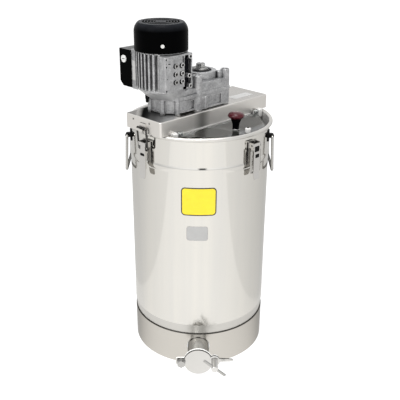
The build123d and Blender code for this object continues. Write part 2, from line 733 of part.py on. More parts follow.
# ---------------------------------------------------------------------------
# motor
# ---------------------------------------------------------------------------
FIN_V = [9.5 * k for k in range(-4, 5)]
PAD_BOSSES = [(u, z) for u in (-14.2, 3.1) for z in (714.0, 697.3, 680.7)]
PAD_EARS = [(26.4, 728.5), (23.0, 689.3), (26.4, 667.5)]
with BuildPart() as motor_frame:
    with BuildSketch(along(U_M, 0, FLANGE_Z)):
        Circle(49.0)
    extrude(amount=FRAME_Z1 - FLANGE_Z)
    with BuildSketch(along(U_M, 0, 662.0)):
        with Locations(*[(0, v) for v in FIN_V]):
            Rectangle(112, 3.0)
        Circle(55.5, mode=Mode.INTERSECT)
    extrude(amount=75.0)
    with BuildSketch(along(U_M, 0, 662.0)):
        with Locations((-5.0, -50)):
            RectangleRounded(77, 20, 3)
        with Locations((0, 47)):
            Rectangle(70, 20)
    extrude(amount=73.0)
    with BuildSketch(along(U_M, 0, 651.0)):
        with Locations((-23.5, 47)):
            Rectangle(23, 20)
        Circle(51.2, mode=Mode.SUBTRACT)
        with Locations((6.5, 0)):
            Circle(50.8, mode=Mode.SUBTRACT)
    extrude(amount=12.0)
    with BuildSketch(along(U_M, 0, 736.0)):
        Circle(53.6)
        Circle(50.0, mode=Mode.SUBTRACT)
    extrude(amount=10.0)
    with BuildSketch(along(U_M, 0, 745.0)):
        with PolarLocations(0, 3, start_angle=-129.0):
            with Locations((51.8, 0)):
                Rectangle(3.2, 12.0)
        Circle(53.6, mode=Mode.INTERSECT)
    extrude(amount=16.0)
    with BuildSketch(along(U_M, 0, FLANGE_Z)):
        Circle(45.5)
    extrude(amount=68.0, mode=Mode.SUBTRACT)
    with BuildSketch(along(U_M, 0, 720.0)):
        Circle(14.0)
    extrude(amount=30.0, mode=Mode.SUBTRACT)
    with BuildSketch(bridge_side(-50.5, U_M + 19.2, 697.0)):
        RectangleRounded(20.0, 63.0, 2.0)
    extrude(amount=16.0, mode=Mode.SUBTRACT)
    with BuildSketch(bridge_side(-50.0, U_M, 0)):
        with Locations(*PAD_EARS):
            Circle(4.7)
    extrude(amount=10.8)
    with BuildSketch(bridge_side(-60.0, U_M, 0)):
        with Locations(*PAD_BOSSES):
            Circle(4.7)
    extrude(amount=2.0)
    with BuildSketch(bridge_side(-54.0, U_M, 0)):
        with Locations(*PAD_BOSSES, *PAD_EARS):
            Circle(2.1)
    extrude(amount=12.0, mode=Mode.SUBTRACT)
    with BuildSketch(bridge_side(-55.0, U_M, 0)):
        with Locations((-40.2, 730), (-39.8, 715), (-40.2, 666)):
            Circle(1.9)
        with Locations((-40.0, 722), (-38.0, 690.5)):
            Circle(1.2)
    extrude(amount=12.0, mode=Mode.SUBTRACT)
    for a in (-84, 36, 156):
        with BuildSketch(Plane(origin=BRIDGE.from_local_coords((U_M, 0, 754.4)),
                               x_dir=(0, 0, 1), z_dir=(cos(radians(a)), sin(radians(a)), 0))):
            Circle(2.0)
        extrude(amount=60, mode=Mode.SUBTRACT)

with BuildPart() as stator_core:
    with BuildSketch(along(U_M, 0, 674.0)):
        Circle(45.5)
        Circle(25.4, mode=Mode.SUBTRACT)
    extrude(amount=44.0)

with BuildPart() as stator_windings:
    with BuildSketch(along(U_M, 0, 663.0)):
        Circle(41.0)
        Circle(28.0, mode=Mode.SUBTRACT)
    extrude(amount=11.0)
    with BuildSketch(along(U_M, 0, 718.0)):
        Circle(41.0)
        Circle(28.0, mode=Mode.SUBTRACT)
    extrude(amount=9.0)

with BuildPart() as rotor_core:
    with BuildSketch(along(U_M, 0, 672.0)):
        Circle(24.9)
        Circle(7.0, mode=Mode.SUBTRACT)
    extrude(amount=48.0)

with BuildPart() as rotor_shaft:
    with BuildSketch(along(U_M, 0, 640.5)):
        with BuildLine():
            Polyline(*gear_outline(N1P, M1, 0.0), close=True)
        make_face()
    extrude(amount=8.5)
    with BuildSketch(along(U_M, 0, 649.0)):
        Circle(7.0)
    extrude(amount=93.0)
    with BuildSketch(along(U_M, 0, 742.0)):
        Circle(6.0)
    extrude(amount=28.0)

with BuildPart() as fan:
    with BuildSketch(along(U_M, 0, 744.0)):
        Circle(12.0)
        Circle(6.0, mode=Mode.SUBTRACT)
    extrude(amount=22.0)
    with BuildSketch(along(U_M, 0, 748.0)):
        Circle(45.0)
        Circle(11.0, mode=Mode.SUBTRACT)
    extrude(amount=2.0)
    with BuildSketch(along(U_M, 0, 749.0)):
        with PolarLocations(0, 8):
            with Locations((28.0, 0)):
                Rectangle(33.0, 2.2)
    extrude(amount=20.0)

with BuildPart() as fan_cowl:
    with BuildSketch(Plane(origin=BRIDGE.from_local_coords((U_M, 0, 0)), x_dir=(1, 1, 0), z_dir=(1, -1, 0))):
        with BuildLine():
            Polyline((COWL_R, COWL_Z0), (COWL_R, 776.0))
            ThreePointArc((COWL_R, 776.0), (54.4, 786.0), (48.8, 794.2))
            Polyline((48.8, 794.2), (47.6, COWL_Z1), (0, COWL_Z1), (0, COWL_Z1 - 2), (46.6, COWL_Z1 - 2))
            ThreePointArc((46.6, COWL_Z1 - 2), (52.2, 785.2), (COWL_R - 2, 776.0))
            Polyline((COWL_R - 2, 776.0), (COWL_R - 2, COWL_Z0), (COWL_R, COWL_Z0))
        make_face()
    revolve(axis=Axis(BRIDGE.from_local_coords((U_M, 0, 0)), (0, 0, 1)))
    for r0 in (13.0, 19.0, 25.0, 31.0, 37.0):
        with BuildSketch(along(U_M, 0, COWL_Z1 - 5)):
            Circle(r0 + 1.9)
            Circle(r0 - 1.9, mode=Mode.SUBTRACT)
            with PolarLocations(0, 4):
                Rectangle(100, 4.0, mode=Mode.SUBTRACT)
        extrude(amount=10, mode=Mode.SUBTRACT)
    for a in (-84, 36, 156):
        with BuildSketch(Plane(origin=BRIDGE.from_local_coords((U_M, 0, 754.4)),
                               x_dir=(0, 0, 1), z_dir=(cos(radians(a)), sin(radians(a)), 0))):
            Circle(2.0)
        extrude(amount=60, mode=Mode.SUBTRACT)

with BuildPart() as cowl_screws:
    for a in (-84, 36, 156):
        d = (cos(radians(a)), sin(radians(a)), 0)
        o = BRIDGE.from_local_coords((U_M, 0, 754.4))
        with BuildSketch(Plane(origin=o + Vector(*d) * 50.2, x_dir=(0, 0, 1), z_dir=d)):
            Circle(2.0)
        extrude(amount=6.0)
        with BuildSketch(Plane(origin=o + Vector(*d) * 56.6, x_dir=(0, 0, 1), z_dir=d)):
            Circle(3.8)
        extrude(amount=1.7)

# terminal box on the +v side of the motor
BOX_U, PLUG_V = 37.0, 78.5
with BuildPart() as terminal_box:
    with BuildSketch(bridge_end(U_M - BOX_U)):
        with BuildLine():
            Polyline((57, 653), (84, 653), (88, 657), (88, 733), (57, 733), close=True)
        make_face()
    extrude(amount=2 * BOX_U)
    with BuildSketch(bridge_end(U_M - BOX_U + 2.5)):
        with BuildLine():
            Polyline((59.5, 655.5), (83, 655.5), (88.0, 660.5), (88.0, 730.5), (59.5, 730.5), close=True)
        make_face()
    extrude(amount=2 * BOX_U - 5, mode=Mode.SUBTRACT)
    with BuildSketch(bridge_end(U_M - BOX_U - 2, PLUG_V, 712)):
        Circle(6.2)
    extrude(amount=6, mode=Mode.SUBTRACT)
    with BuildSketch(bridge_end(U_M + BOX_U - 4, 73.0, 688)):
        Circle(8.0)
    extrude(amount=6, mode=Mode.SUBTRACT)

with BuildPart() as terminal_box_lid:
    with BuildSketch(bridge_end(U_M - BOX_U)):
        with BuildLine():
            Polyline((88, 657), (94, 663), (94, 733), (88, 733), close=True)
        make_face()
    extrude(amount=2 * BOX_U)

with BuildPart() as blanking_plug:
    with BuildSketch(bridge_end(U_M - BOX_U - 2.2, PLUG_V, 712)):
        Circle(7.8)
    extrude(amount=2.2)
    with BuildSketch(bridge_end(U_M - BOX_U, PLUG_V, 712)):
        Circle(6.2)
    extrude(amount=5.0)
    with BuildSketch(bridge_end(U_M - BOX_U - 2.2, PLUG_V, 712)):
        Rectangle(9.0, 1.6)
    extrude(amount=0.9, mode=Mode.SUBTRACT)

with BuildPart() as cable_gland:
    with BuildSketch(bridge_end(U_M + BOX_U - 5, 73.0, 688)):
        Circle(8.0)
    extrude(amount=5)
    with BuildSketch(bridge_end(U_M + BOX_U, 73.0, 688)):
        RegularPolygon(12.0, 6)
    extrude(amount=6)
    with BuildSketch(bridge_end(U_M + BOX_U + 6, 73.0, 688)):
        Circle(10.0)
    extrude(amount=12, taper=8)
    with BuildSketch(bridge_end(U_M + BOX_U - 6, 73.0, 688)):
        Circle(4.0)
    extrude(amount=40, mode=Mode.SUBTRACT)

# ---------------------------------------------------------------------------
# gear train and stirrer
# ---------------------------------------------------------------------------
def gap_phase(teeth):
    """Phase that puts a tooth gap towards the pinion on the -u side."""
    return 180.0 - 180.0 / teeth


with BuildPart() as gear_cluster_a:
    with BuildSketch(along(U_A, 0, 609.0)):
        Circle(5.0)
    extrude(amount=45.5)
    with BuildSketch(along(U_A, 0, 641.0)):
        with BuildLine():
            Polyline(*gear_outline(N1G, M1, gap_phase(N1G)), close=True)
        make_face()
    extrude(amount=7.0)
    with BuildSketch(along(U_A, 0, 629.0)):
        with BuildLine():
            Polyline(*gear_outline(N2P, M2, 0.0), close=True)
        make_face()
    extrude(amount=11.0)

with BuildPart() as gear_cluster_b:
    with BuildSketch(along(U_B, 0, 606.5)):
        Circle(6.0)
    extrude(amount=50.0)
    with BuildSketch(along(U_B, 0, 630.0)):
        with BuildLine():
            Polyline(*gear_outline(N2G, M2, gap_phase(N2G)), close=True)
        make_face()
    extrude(amount=9.0)
    with BuildSketch(along(U_B, 0, 613.8)):
        with BuildLine():
            Polyline(*gear_outline(N3P, M3, 0.0), close=True)
        make_face()
    extrude(amount=14.7)

with BuildPart() as output_shaft:
    with BuildSketch(BRIDGE.offset(596.0)):
        Circle(SHAFT_R)
    extrude(amount=SHAFT_Z1 - 596.0)
    with BuildSketch(BRIDGE.offset(614.5)):
        with BuildLine():
            Polyline(*gear_outline(N3G, M3, gap_phase(N3G)), close=True)
        make_face()
    extrude(amount=13.0)
    with BuildSketch(BRIDGE.offset(590.0)):
        Circle(BORE_R)
    extrude(amount=100.0, mode=Mode.SUBTRACT)

with BuildPart() as ball_bearings:
    with BuildSketch(BRIDGE.offset(604.0)):
        Circle(BEARING_R)
        Circle(SHAFT_R + 0.06, mode=Mode.SUBTRACT)
    extrude(amount=7.0)
    with BuildSketch(BRIDGE.offset(652.0)):
        Circle(BEARING_R)
        Circle(SHAFT_R + 0.06, mode=Mode.SUBTRACT)
    extrude(amount=8.0)
    with BuildSketch(along(U_M, 0, 651.0)):
        Circle(15.0)
        Circle(7.06, mode=Mode.SUBTRACT)
    extrude(amount=8.0)
    with BuildSketch(along(U_M, 0, 729.0)):
        Circle(14.0)
        Circle(7.06, mode=Mode.SUBTRACT)
    extrude(amount=8.0)

with BuildPart() as shaft_bolt:
    with BuildSketch(BRIDGE.offset(SHAFT_Z1)):
        Circle(16.0)
    extrude(amount=3.0)
    with BuildSketch(BRIDGE.offset(SHAFT_Z1 + 3.0)):
        RegularPolygon(9.8, 6)
    extrude(amount=8.0)
    with BuildSketch(BRIDGE.offset(660.0)):
        Circle(5.0)
    extrude(amount=SHAFT_Z1 - 660.0)

STIR_Z0, STIR_Z1 = 118.0, 338.0
with BuildPart() as stirrer_shaft:
    with BuildSketch(BRIDGE.offset(100.0)):
        Circle(BORE_R)
    extrude(amount=SHAFT_Z1 - 100.0)
    with BuildSketch(BRIDGE.offset(660.0)):
        Circle(5.0)
    extrude(amount=30.0, mode=Mode.SUBTRACT)

with BuildPart() as stirrer_blades:
    for zc in (STIR_Z0, STIR_Z1):
        with BuildSketch(BRIDGE.offset(zc - 14)):
            Circle(18.0)
        extrude(amount=28.0)
    for zc, tilt in ((STIR_Z0, 35.0), (STIR_Z1, -35.0)):
        for s in (1, -1):
            with BuildSketch(Plane(origin=BRIDGE.from_local_coords((s * 10.0, 0, zc)), x_dir=(-1, 1, 0), z_dir=(s, s, 0))):
                Rectangle(5.0, 24.0, rotation=tilt)
            extrude(amount=124.0)
    for s in (1, -1):
        with BuildSketch(along(s * 126.0, 0, STIR_Z0 - 6)):
            Rectangle(24.0, 5.0, rotation=25.0)
        extrude(amount=STIR_Z1 - STIR_Z0 + 12)
    with BuildSketch(BRIDGE.offset(90.0)):
        Circle(BORE_R)
    extrude(amount=300.0, mode=Mode.SUBTRACT)

# ---------------------------------------------------------------------------
# names and files
# ---------------------------------------------------------------------------
PIECES = {
    "tank_shell": tank_shell, "tank_bottom": tank_bottom, "base_skirt": base_skirt,
    "outlet_pipe": outlet_pipe, "gate_body": gate_body, "gate_seal": gate_seal, "gate_blade": gate_blade,
    "gate_pivot_bolt": gate_pivot_bolt, "gate_clamp_stud": gate_clamp_stud, "gate_clamp_washer": gate_clamp_washer,
    "gate_clamp_nut": gate_clamp_nut, "gate_tee_bar": gate_tee_bar,
    "handle_lugs": handle_lugs, "handle_left": handle_left, "handle_right": handle_right,
    "latch_bases": latch_bases, "latch_pins": latch_pins, "latch_keepers": latch_keepers,
    "latch_lever_front_left": latch_lever_front_left, "latch_lever_front_right": latch_lever_front_right,
    "latch_lever_back_left": latch_lever_back_left, "latch_lever_back_right": latch_lever_back_right,
    "latch_bail_front_left": latch_bail_front_left, "latch_bail_front_right": latch_bail_front_right,
    "latch_bail_back_left": latch_bail_back_left, "latch_bail_back_right": latch_bail_back_right,
    "drive_bridge": drive_bridge, "lid_hinge_brackets": lid_hinge_brackets, "lid_hinge_clips": lid_hinge_clips,
    "lid_hinge_pins": lid_hinge_pins,
    "lid_front": lid_front, "lid_front_bumper": lid_front_bumper, "knob_front_stem": knob_front_stem,
    "knob_front_cap": knob_front_cap,
    "lid_back": lid_back, "lid_back_bumper": lid_back_bumper, "knob_back_stem": knob_back_stem,
    "knob_back_cap": knob_back_cap,
    "gear_case_lower": gear_case_lower, "gear_case_upper": gear_case_upper, "gear_case_bolts": gear_case_bolts,
    "motor_frame": motor_frame, "stator_core": stator_core, "stator_windings": stator_windings,
    "rotor_core": rotor_core, "rotor_shaft": rotor_shaft, "fan": fan, "fan_cowl": fan_cowl, "cowl_screws": cowl_screws,
    "terminal_box": terminal_box, "terminal_box_lid": terminal_box_lid, "blanking_plug": blanking_plug,
    "cable_gland": cable_gland,
    "gear_cluster_a": gear_cluster_a, "gear_cluster_b": gear_cluster_b, "output_shaft": output_shaft,
    "ball_bearings": ball_bearings, "shaft_bolt": shaft_bolt, "stirrer_shaft": stirrer_shaft,
    "stirrer_blades": stirrer_blades,
}
for name, piece in PIECES.items():
    piece.part.label = name
    export_step(piece.part, f"parts/{name}.step")
print(len(PIECES), "pieces")
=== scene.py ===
import bpy, bmesh, math
from mathutils import Matrix, Vector


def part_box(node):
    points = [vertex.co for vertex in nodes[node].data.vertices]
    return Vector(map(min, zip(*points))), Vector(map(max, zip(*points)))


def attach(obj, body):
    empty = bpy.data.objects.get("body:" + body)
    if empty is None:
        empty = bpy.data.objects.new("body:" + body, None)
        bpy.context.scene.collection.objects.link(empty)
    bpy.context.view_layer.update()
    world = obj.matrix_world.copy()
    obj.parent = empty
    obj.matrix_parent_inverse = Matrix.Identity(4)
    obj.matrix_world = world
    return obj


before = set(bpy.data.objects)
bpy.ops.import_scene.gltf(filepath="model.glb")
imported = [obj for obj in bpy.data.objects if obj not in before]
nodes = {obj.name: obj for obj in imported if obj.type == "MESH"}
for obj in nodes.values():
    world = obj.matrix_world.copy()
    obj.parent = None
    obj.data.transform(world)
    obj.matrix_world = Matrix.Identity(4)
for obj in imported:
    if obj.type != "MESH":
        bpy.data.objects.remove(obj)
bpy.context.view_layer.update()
S = math.sqrt(0.5)


def uvz(u, v, z):
    """Bridge coordinates in millimetres to the row frame in metres."""
    return Vector(((u - v) * S, (u + v) * S, z)) / 1000.0


# ---------------------------------------------------------------------------
# node helpers
# ---------------------------------------------------------------------------
class Mat:
    def __init__(self, name):
        self.m = bpy.data.materials.new(name)
        self.m.use_nodes = True
        self.nt = self.m.node_tree
        self.b = self.nt.nodes["Principled BSDF"]
        self.tc = None

    def set(self, **kw):
        for k, v in kw.items():
            sock = self.b.inputs[k.replace("_", " ")]
            sock.default_value = v
        return self

    def n(self, kind, **props):
        node = self.nt.nodes.new(kind)
        for k, v in props.items():
            setattr(node, k, v)
        return node

    def link(self, a, b):
        self.nt.links.new(a, b)

    def coords(self, scale=(1, 1, 1), rot=(0, 0, 0)):
        if self.tc is None:
            self.tc = self.n("ShaderNodeTexCoord")
        mp = self.n("ShaderNodeMapping")
        mp.inputs["Scale"].default_value = scale
        mp.inputs["Rotation"].default_value = rot
        self.link(self.tc.outputs["Object"], mp.inputs["Vector"])
        return mp.outputs["Vector"]

    def noise(self, scale, detail=4.0, rough=0.55, vec=None, distortion=0.0):
        t = self.n("ShaderNodeTexNoise")
        t.inputs["Scale"].default_value = scale
        t.inputs["Detail"].default_value = detail
        t.inputs["Roughness"].default_value = rough
        t.inputs["Distortion"].default_value = distortion
        self.link(vec if vec is not None else self.coords(), t.inputs["Vector"])
        return t.outputs["Fac"]

    def voronoi(self, scale, vec=None, out="Distance"):
        t = self.n("ShaderNodeTexVoronoi")
        t.inputs["Scale"].default_value = scale
        self.link(vec if vec is not None else self.coords(), t.inputs["Vector"])
        return t.outputs[out]

    def ramp(self, fac, stops):
        r = self.n("ShaderNodeValToRGB")
        els = r.color_ramp.elements
        while len(els) < len(stops):
            els.new(0.5)
        for e, (p, c) in zip(els, stops):
            e.position = p
            e.color = (*c, 1) if len(c) == 3 else c
        self.link(fac, r.inputs["Fac"])
        return r.outputs["Color"]

    def range(self, fac, lo, hi, a=0.0, b=1.0):
        r = self.n("ShaderNodeMapRange")
        r.inputs["From Min"].default_value = a
        r.inputs["From Max"].default_value = b
        r.inputs["To Min"].default_value = lo
        r.inputs["To Max"].default_value = hi
        self.link(fac, r.inputs["Value"])
        return r.outputs["Result"]

    def mix(self, fac, a, b, blend="MIX"):
        x = self.n("ShaderNodeMix", data_type="RGBA", blend_type=blend)
        for sock, val in ((x.inputs[0], fac), (x.inputs[6], a), (x.inputs[7], b)):
            if isinstance(val, (int, float)):
                sock.default_value = val
            elif isinstance(val, tuple):
                sock.default_value = (*val, 1) if len(val) == 3 else val
            else:
                self.link(val, sock)
        return x.outputs[2]

    def math(self, op, a, b=0.0):
        x = self.n("ShaderNodeMath", operation=op)
        for sock, val in ((x.inputs[0], a), (x.inputs[1], b)):
            if isinstance(val, (int, float)):
                sock.default_value = val
            else:
                self.link(val, sock)
        return x.outputs[0]

    def bump(self, height, strength, distance=0.0005, prev=None):
        x = self.n("ShaderNodeBump")
        x.inputs["Strength"].default_value = strength
        x.inputs["Distance"].default_value = distance
        self.link(height, x.inputs["Height"])
        if prev is not None:
            self.link(prev, x.inputs["Normal"])
        self.link(x.outputs["Normal"], self.b.inputs["Normal"])
        return x.outputs["Normal"]

    def painted_crease_shade(self, reach, full, none):
        """Mask of the corners and creases, where shade is painted in darker."""
        ao = self.n("ShaderNodeAmbientOcclusion", samples=8, only_local=True)
        ao.inputs["Distance"].default_value = reach
        return self.range(ao.outputs["AO"], 1.0, 0.0, full, none)

    def color(self, out):
        self.link(out, self.b.inputs["Base Color"])
        return self

    def rough(self, out):
        self.link(out, self.b.inputs["Roughness"])
        return self


def steel(name, color, rough, grain=(40, 40, 900), wave=0.02, spread=0.05, swing=0.05, edge=1.0, inner=None, top=None, low=None, painted_reflection=None, streak=None, cut=None, cut_metal=None, crease_shade_reach=None, rim=None, painted_dark_reflection=None, ledge=None):
    """Stainless sheet: metal with a faint rolled grain, soft cloudiness and a slight waviness.

    edge darkens the grazing reflection, inner gives the finish of the faces that look at the tank axis,
    top the roughness of the faces that look up, low the height below which the sheet is duller, with its finish,
    stain a painted reflection: a dark patch on the faces that look up, standing for the mirror image of the dark motor
    and gear case above them, with a darker line at its left end: the x where it starts and ends, its tones between
    them, its roughness,
    smudge a painted dark reflection: a soft dark patch on the front wall of the bridge; its place along the bridge,
    full and faded half widths, strength, streak the strength of broad vertical streaks, cut the tone of the cut edges
    of a plate that faces front, painted as a highlight where pale and as a shadow line where dark, cut_metal how
    metallic they look, grime the reach of the painted shade that darkens corners and creases, rim the height above
    which the sheet is satin, with its roughness, ledge a dark, non-metallic tone given to the faces that look up."""
    m = Mat(name).set(Metallic=1.0, Specular_Tint=(edge, edge, edge, 1))
    cloud = m.noise(9.0, 3.0)
    fine = m.noise(1.0, 5.0, vec=m.coords(grain))
    c = [max(0.0, x) for x in color]
    tone = m.mix(m.range(cloud, 0, 1, 0.3, 0.7), tuple(x * (1 - spread) for x in c), tuple(min(1, x * (1 + spread * 0.6)) for x in c))
    r = m.math("ADD", m.range(fine, -swing, swing), m.range(cloud, rough * 0.85, rough * 1.15))
    if streak is not None:
        drawn = m.noise(1.0, 4.0, 0.6, vec=m.coords((22, 22, 0.7)))
        warm = tuple(x * y for x, y in zip(c, (1 + 0.6 * streak, 1 + 0.5 * streak, 1 + 0.2 * streak)))
        cool = tuple(x * y for x, y in zip(c, (1 - streak, 1 - 0.9 * streak, 1 - 0.8 * streak)))
        tone = m.mix(0.5, tone, m.mix(m.range(drawn, 0, 1, 0.32, 0.68), cool, warm))
    # cut edges: a painted highlight where the tone is pale, a painted shadow line where it is dark
    if cut is not None:
        geo = m.n("ShaderNodeNewGeometry")
        sep = m.n("ShaderNodeSeparateXYZ")
        m.link(geo.outputs["Normal"], sep.inputs[0])
        sawn = m.range(m.math("ABSOLUTE", sep.outputs["Y"]), 1.0, 0.0, 0.35, 0.6)
        tone = m.mix(sawn, tone, cut)
        if cut_metal is not None:
            m.link(m.range(sawn, 1.0, cut_metal), m.b.inputs["Metallic"])
    if inner is not None:
        geo = m.n("ShaderNodeNewGeometry")
        flat = m.n("ShaderNodeVectorMath", operation="MULTIPLY")
        flat.inputs[1].default_value = (1, 1, 0)
        m.link(geo.outputs["Position"], flat.inputs[0])
        unit = m.n("ShaderNodeVectorMath", operation="NORMALIZE")
        m.link(flat.outputs[0], unit.inputs[0])
        dot = m.n("ShaderNodeVectorMath", operation="DOT_PRODUCT")
        m.link(unit.outputs[0], dot.inputs[0])
        m.link(geo.outputs["Normal"], dot.inputs[1])
        inside = m.range(dot.outputs["Value"], 1.0, 0.0, -0.6, -0.2)
        col_in, rough_in = inner
        tone = m.mix(inside, tone, m.mix(m.range(cloud, 0, 1, 0.3, 0.7), tuple(x * 0.93 for x in col_in), col_in))
        r = m.math("ADD", m.math("MULTIPLY", r, m.range(inside, 1.0, 0.0)), m.math("MULTIPLY", m.range(fine, rough_in * 0.85, rough_in * 1.15), inside))
        high = m.n("ShaderNodeSeparateXYZ")
        m.link(geo.outputs["Position"], high.inputs[0])
        worn_and_brightened = m.math("MULTIPLY", inside, m.range(high.outputs["Z"], 0.75, 1.0, 0.50, 0.55))
        m.link(m.range(worn_and_brightened, 1.0, 0.3), m.b.inputs["Metallic"])
    if low is not None:
        z_low, rough_low, tone_low = low
        spot = m.n("ShaderNodeNewGeometry")
        at = m.n("ShaderNodeSeparateXYZ")
        m.link(spot.outputs["Position"], at.inputs[0])
        band = m.range(at.outputs["Z"], 1.0, 0.0, z_low - 0.001, z_low + 0.001)
        tone = m.mix(band, tone, tone_low)
        r = m.math("ADD", r, m.range(at.outputs["Z"], 0.10, 0.0, z_low + 0.004, z_low + 0.07))
        r = m.math("ADD", m.math("MULTIPLY", r, m.range(band, 1.0, 0.0)), m.math("MULTIPLY", m.range(fine, rough_low * 0.85, rough_low * 1.15), band))
    if rim is not None:
        z_rim, rough_rim = rim
        spot = m.n("ShaderNodeNewGeometry")
        at = m.n("ShaderNodeSeparateXYZ")
        m.link(spot.outputs["Position"], at.inputs[0])
        band = m.range(at.outputs["Z"], 0.0, 1.0, z_rim - 0.002, z_rim + 0.002)
        r = m.math("ADD", m.math("MULTIPLY", r, m.range(band, 1.0, 0.0)), m.math("MULTIPLY", m.range(cloud, rough_rim * 0.9, rough_rim * 1.1), band))
    if top is not None:
        geo = m.n("ShaderNodeNewGeometry")
        sep = m.n("ShaderNodeSeparateXYZ")
        m.link(geo.outputs["Normal"], sep.inputs[0])
        up = m.range(sep.outputs["Z"], 0.0, 1.0, 0.75, 0.97)
        r = m.math("ADD", m.math("MULTIPLY", r, m.range(up, 1.0, 0.0)), m.math("MULTIPLY", m.range(cloud, top * 0.85, top * 1.15), up))
        # painted reflection: faces that look up are darkened to stand for the mirror image of the dark drive above,
        # with a darker line at the left end
        if painted_reflection is not None:
            x_left, x_right, tones, film_roughness = painted_reflection
            at = m.n("ShaderNodeSeparateXYZ")
            m.link(geo.outputs["Position"], at.inputs[0])
            ragged = m.math("ADD", at.outputs["X"], m.range(m.noise(30.0, 3.0), -0.001, 0.001, 0.3, 0.7))
            reflection_mask = m.math("MULTIPLY", up, m.math("MULTIPLY", m.range(ragged, 0.0, 1.0, x_left, x_left + 0.013), m.range(ragged, 1.0, 0.0, x_right - 0.015, x_right)))
            tone = m.mix(reflection_mask, tone, m.ramp(m.range(ragged, 0.0, 1.0, x_left, x_right), [(t, (g, g, g)) for t, g in tones]))
            r = m.math("ADD", m.math("MULTIPLY", r, m.range(reflection_mask, 1.0, 0.0)), m.math("MULTIPLY", reflection_mask, film_roughness))
            tone = m.mix(m.math("MULTIPLY", up, m.range(ragged, 0.75, 0.0, x_left - 0.004, x_left + 0.004)), tone, tuple(x * 0.3 for x in c))
            m.set(Specular_IOR_Level=0.02)
            m.link(m.range(reflection_mask, 1.0, 0.0), m.b.inputs["Metallic"])
    # painted reflection: a soft dark patch on the front wall of the bridge
    if painted_dark_reflection is not None:
        u_mid, u_full, u_none, dark = painted_dark_reflection
        geo = m.n("ShaderNodeNewGeometry")
        run = m.n("ShaderNodeVectorMath", operation="DOT_PRODUCT")
        run.inputs[1].default_value = (S, S, 0)
        m.link(geo.outputs["Position"], run.inputs[0])
        face = m.n("ShaderNodeVectorMath", operation="DOT_PRODUCT")
        face.inputs[1].default_value = (S, -S, 0)
        m.link(geo.outputs["Normal"], face.inputs[0])
        off = m.math("ABSOLUTE", m.math("SUBTRACT", run.outputs["Value"], u_mid))
        dark_reflection_mask = m.math("MULTIPLY", m.range(off, dark, 0.0, u_full, u_none), m.range(face.outputs["Value"], 0.0, 1.0, 0.7, 0.9))
        tone = m.mix(dark_reflection_mask, tone, tuple(x * 0.12 for x in c))
    if ledge is not None:
        facing = m.n("ShaderNodeNewGeometry")
        way = m.n("ShaderNodeSeparateXYZ")
        m.link(facing.outputs["Normal"], way.inputs[0])
        upturned_faces = m.range(way.outputs["Z"], 0.0, 1.0, 0.5, 0.8)
        tone = m.mix(upturned_faces, tone, ledge)
        m.link(m.range(upturned_faces, 1.0, 0.0), m.b.inputs["Metallic"])
    # painted shade: corners and creases darkened
    if crease_shade_reach is not None:
        tone = m.mix(m.painted_crease_shade(crease_shade_reach, 0.3, 0.75), tone, tuple(x * 0.12 for x in c))
    m.color(tone)
    m.rough(r)
    nrm = m.bump(m.noise(14.0, 2.0), wave, 0.002)
    m.bump(fine, 0.02, 0.0002, nrm)
    return m.m


def plastic(name, color, rough, coat=0.0, grain=1600.0, strength=0.06, spread=0.12, spec=0.5, dust_and_sheen=None):
    """Moulded plastic; dust is a paler tone on the faces that look up: partly soiling, partly a painted sheen standing
    for the light those faces catch from above.
    """
    m = Mat(name).set(Metallic=0.0, Coat_Weight=coat, Coat_Roughness=0.06, Specular_IOR_Level=spec)
    n1 = m.noise(60.0, 3.0)
    n2 = m.noise(grain, 2.0)
    tone = m.mix(m.range(n1, 0, 1, 0.3, 0.7), tuple(x * (1 - spread) for x in color), tuple(min(1, x * (1 + spread)) for x in color))
    # paler faces that look up: soiling and a painted sheen
    if dust_and_sheen is not None:
        geo = m.n("ShaderNodeNewGeometry")
        sep = m.n("ShaderNodeSeparateXYZ")
        m.link(geo.outputs["Normal"], sep.inputs[0])
        up = m.math("MULTIPLY", m.range(sep.outputs["Z"], 0.0, 1.0, 0.2, 0.85), m.range(n1, 0.7, 1.0, 0.3, 0.7))
        tone = m.mix(up, tone, dust_and_sheen)
    m.color(tone)
    m.rough(m.range(n1, rough * 0.85, rough * 1.15, 0.3, 0.7))
    m.bump(n2, strength, 0.0002)
    return m.m


# ---------------------------------------------------------------------------
# materials
# ---------------------------------------------------------------------------
MAT = {}
MAT["tank"] = steel("tank_steel", (0.66, 0.648, 0.62), 0.09, grain=(6, 6, 260), wave=0.012, spread=0.02, swing=0.015, edge=0.92, streak=0.09,
                    inner=((0.56, 0.55, 0.535), 0.36), low=(0.107, 0.36, (0.55, 0.54, 0.515)), rim=(0.560, 0.34))
MAT["skirt"] = steel("skirt_steel", (0.53, 0.51, 0.475), 0.22, spread=0.03, edge=0.5, ledge=(0.06, 0.057, 0.051))
# bridge: a painted reflection of the drive on its top, a painted dark reflection on its front wall
MAT["bridge"] = steel("bridge_steel", (0.70, 0.68, 0.652), 0.42, grain=(30, 30, 30), spread=0.03, swing=0.02, edge=0.66, top=0.27,
                      painted_reflection=(-0.136, -0.040, ((0.0, 0.0015), (0.17, 0.0015), (0.25, 0.014), (0.33, 0.05), (0.42, 0.055), (0.56, 0.105), (0.70, 0.19), (0.80, 0.22), (1.0, 0.22)), 0.85),
                      painted_dark_reflection=(-0.049, 0.003, 0.026, 0.62))
MAT["bright"] = steel("bright_steel", (0.60, 0.592, 0.575), 0.24, edge=0.5)
MAT["pipe"] = steel("pipe_steel", (0.72, 0.71, 0.685), 0.24, edge=0.25)
MAT["clamp_nut"] = steel("clamp_nut_steel", (0.66, 0.652, 0.637), 0.30, edge=0.6)
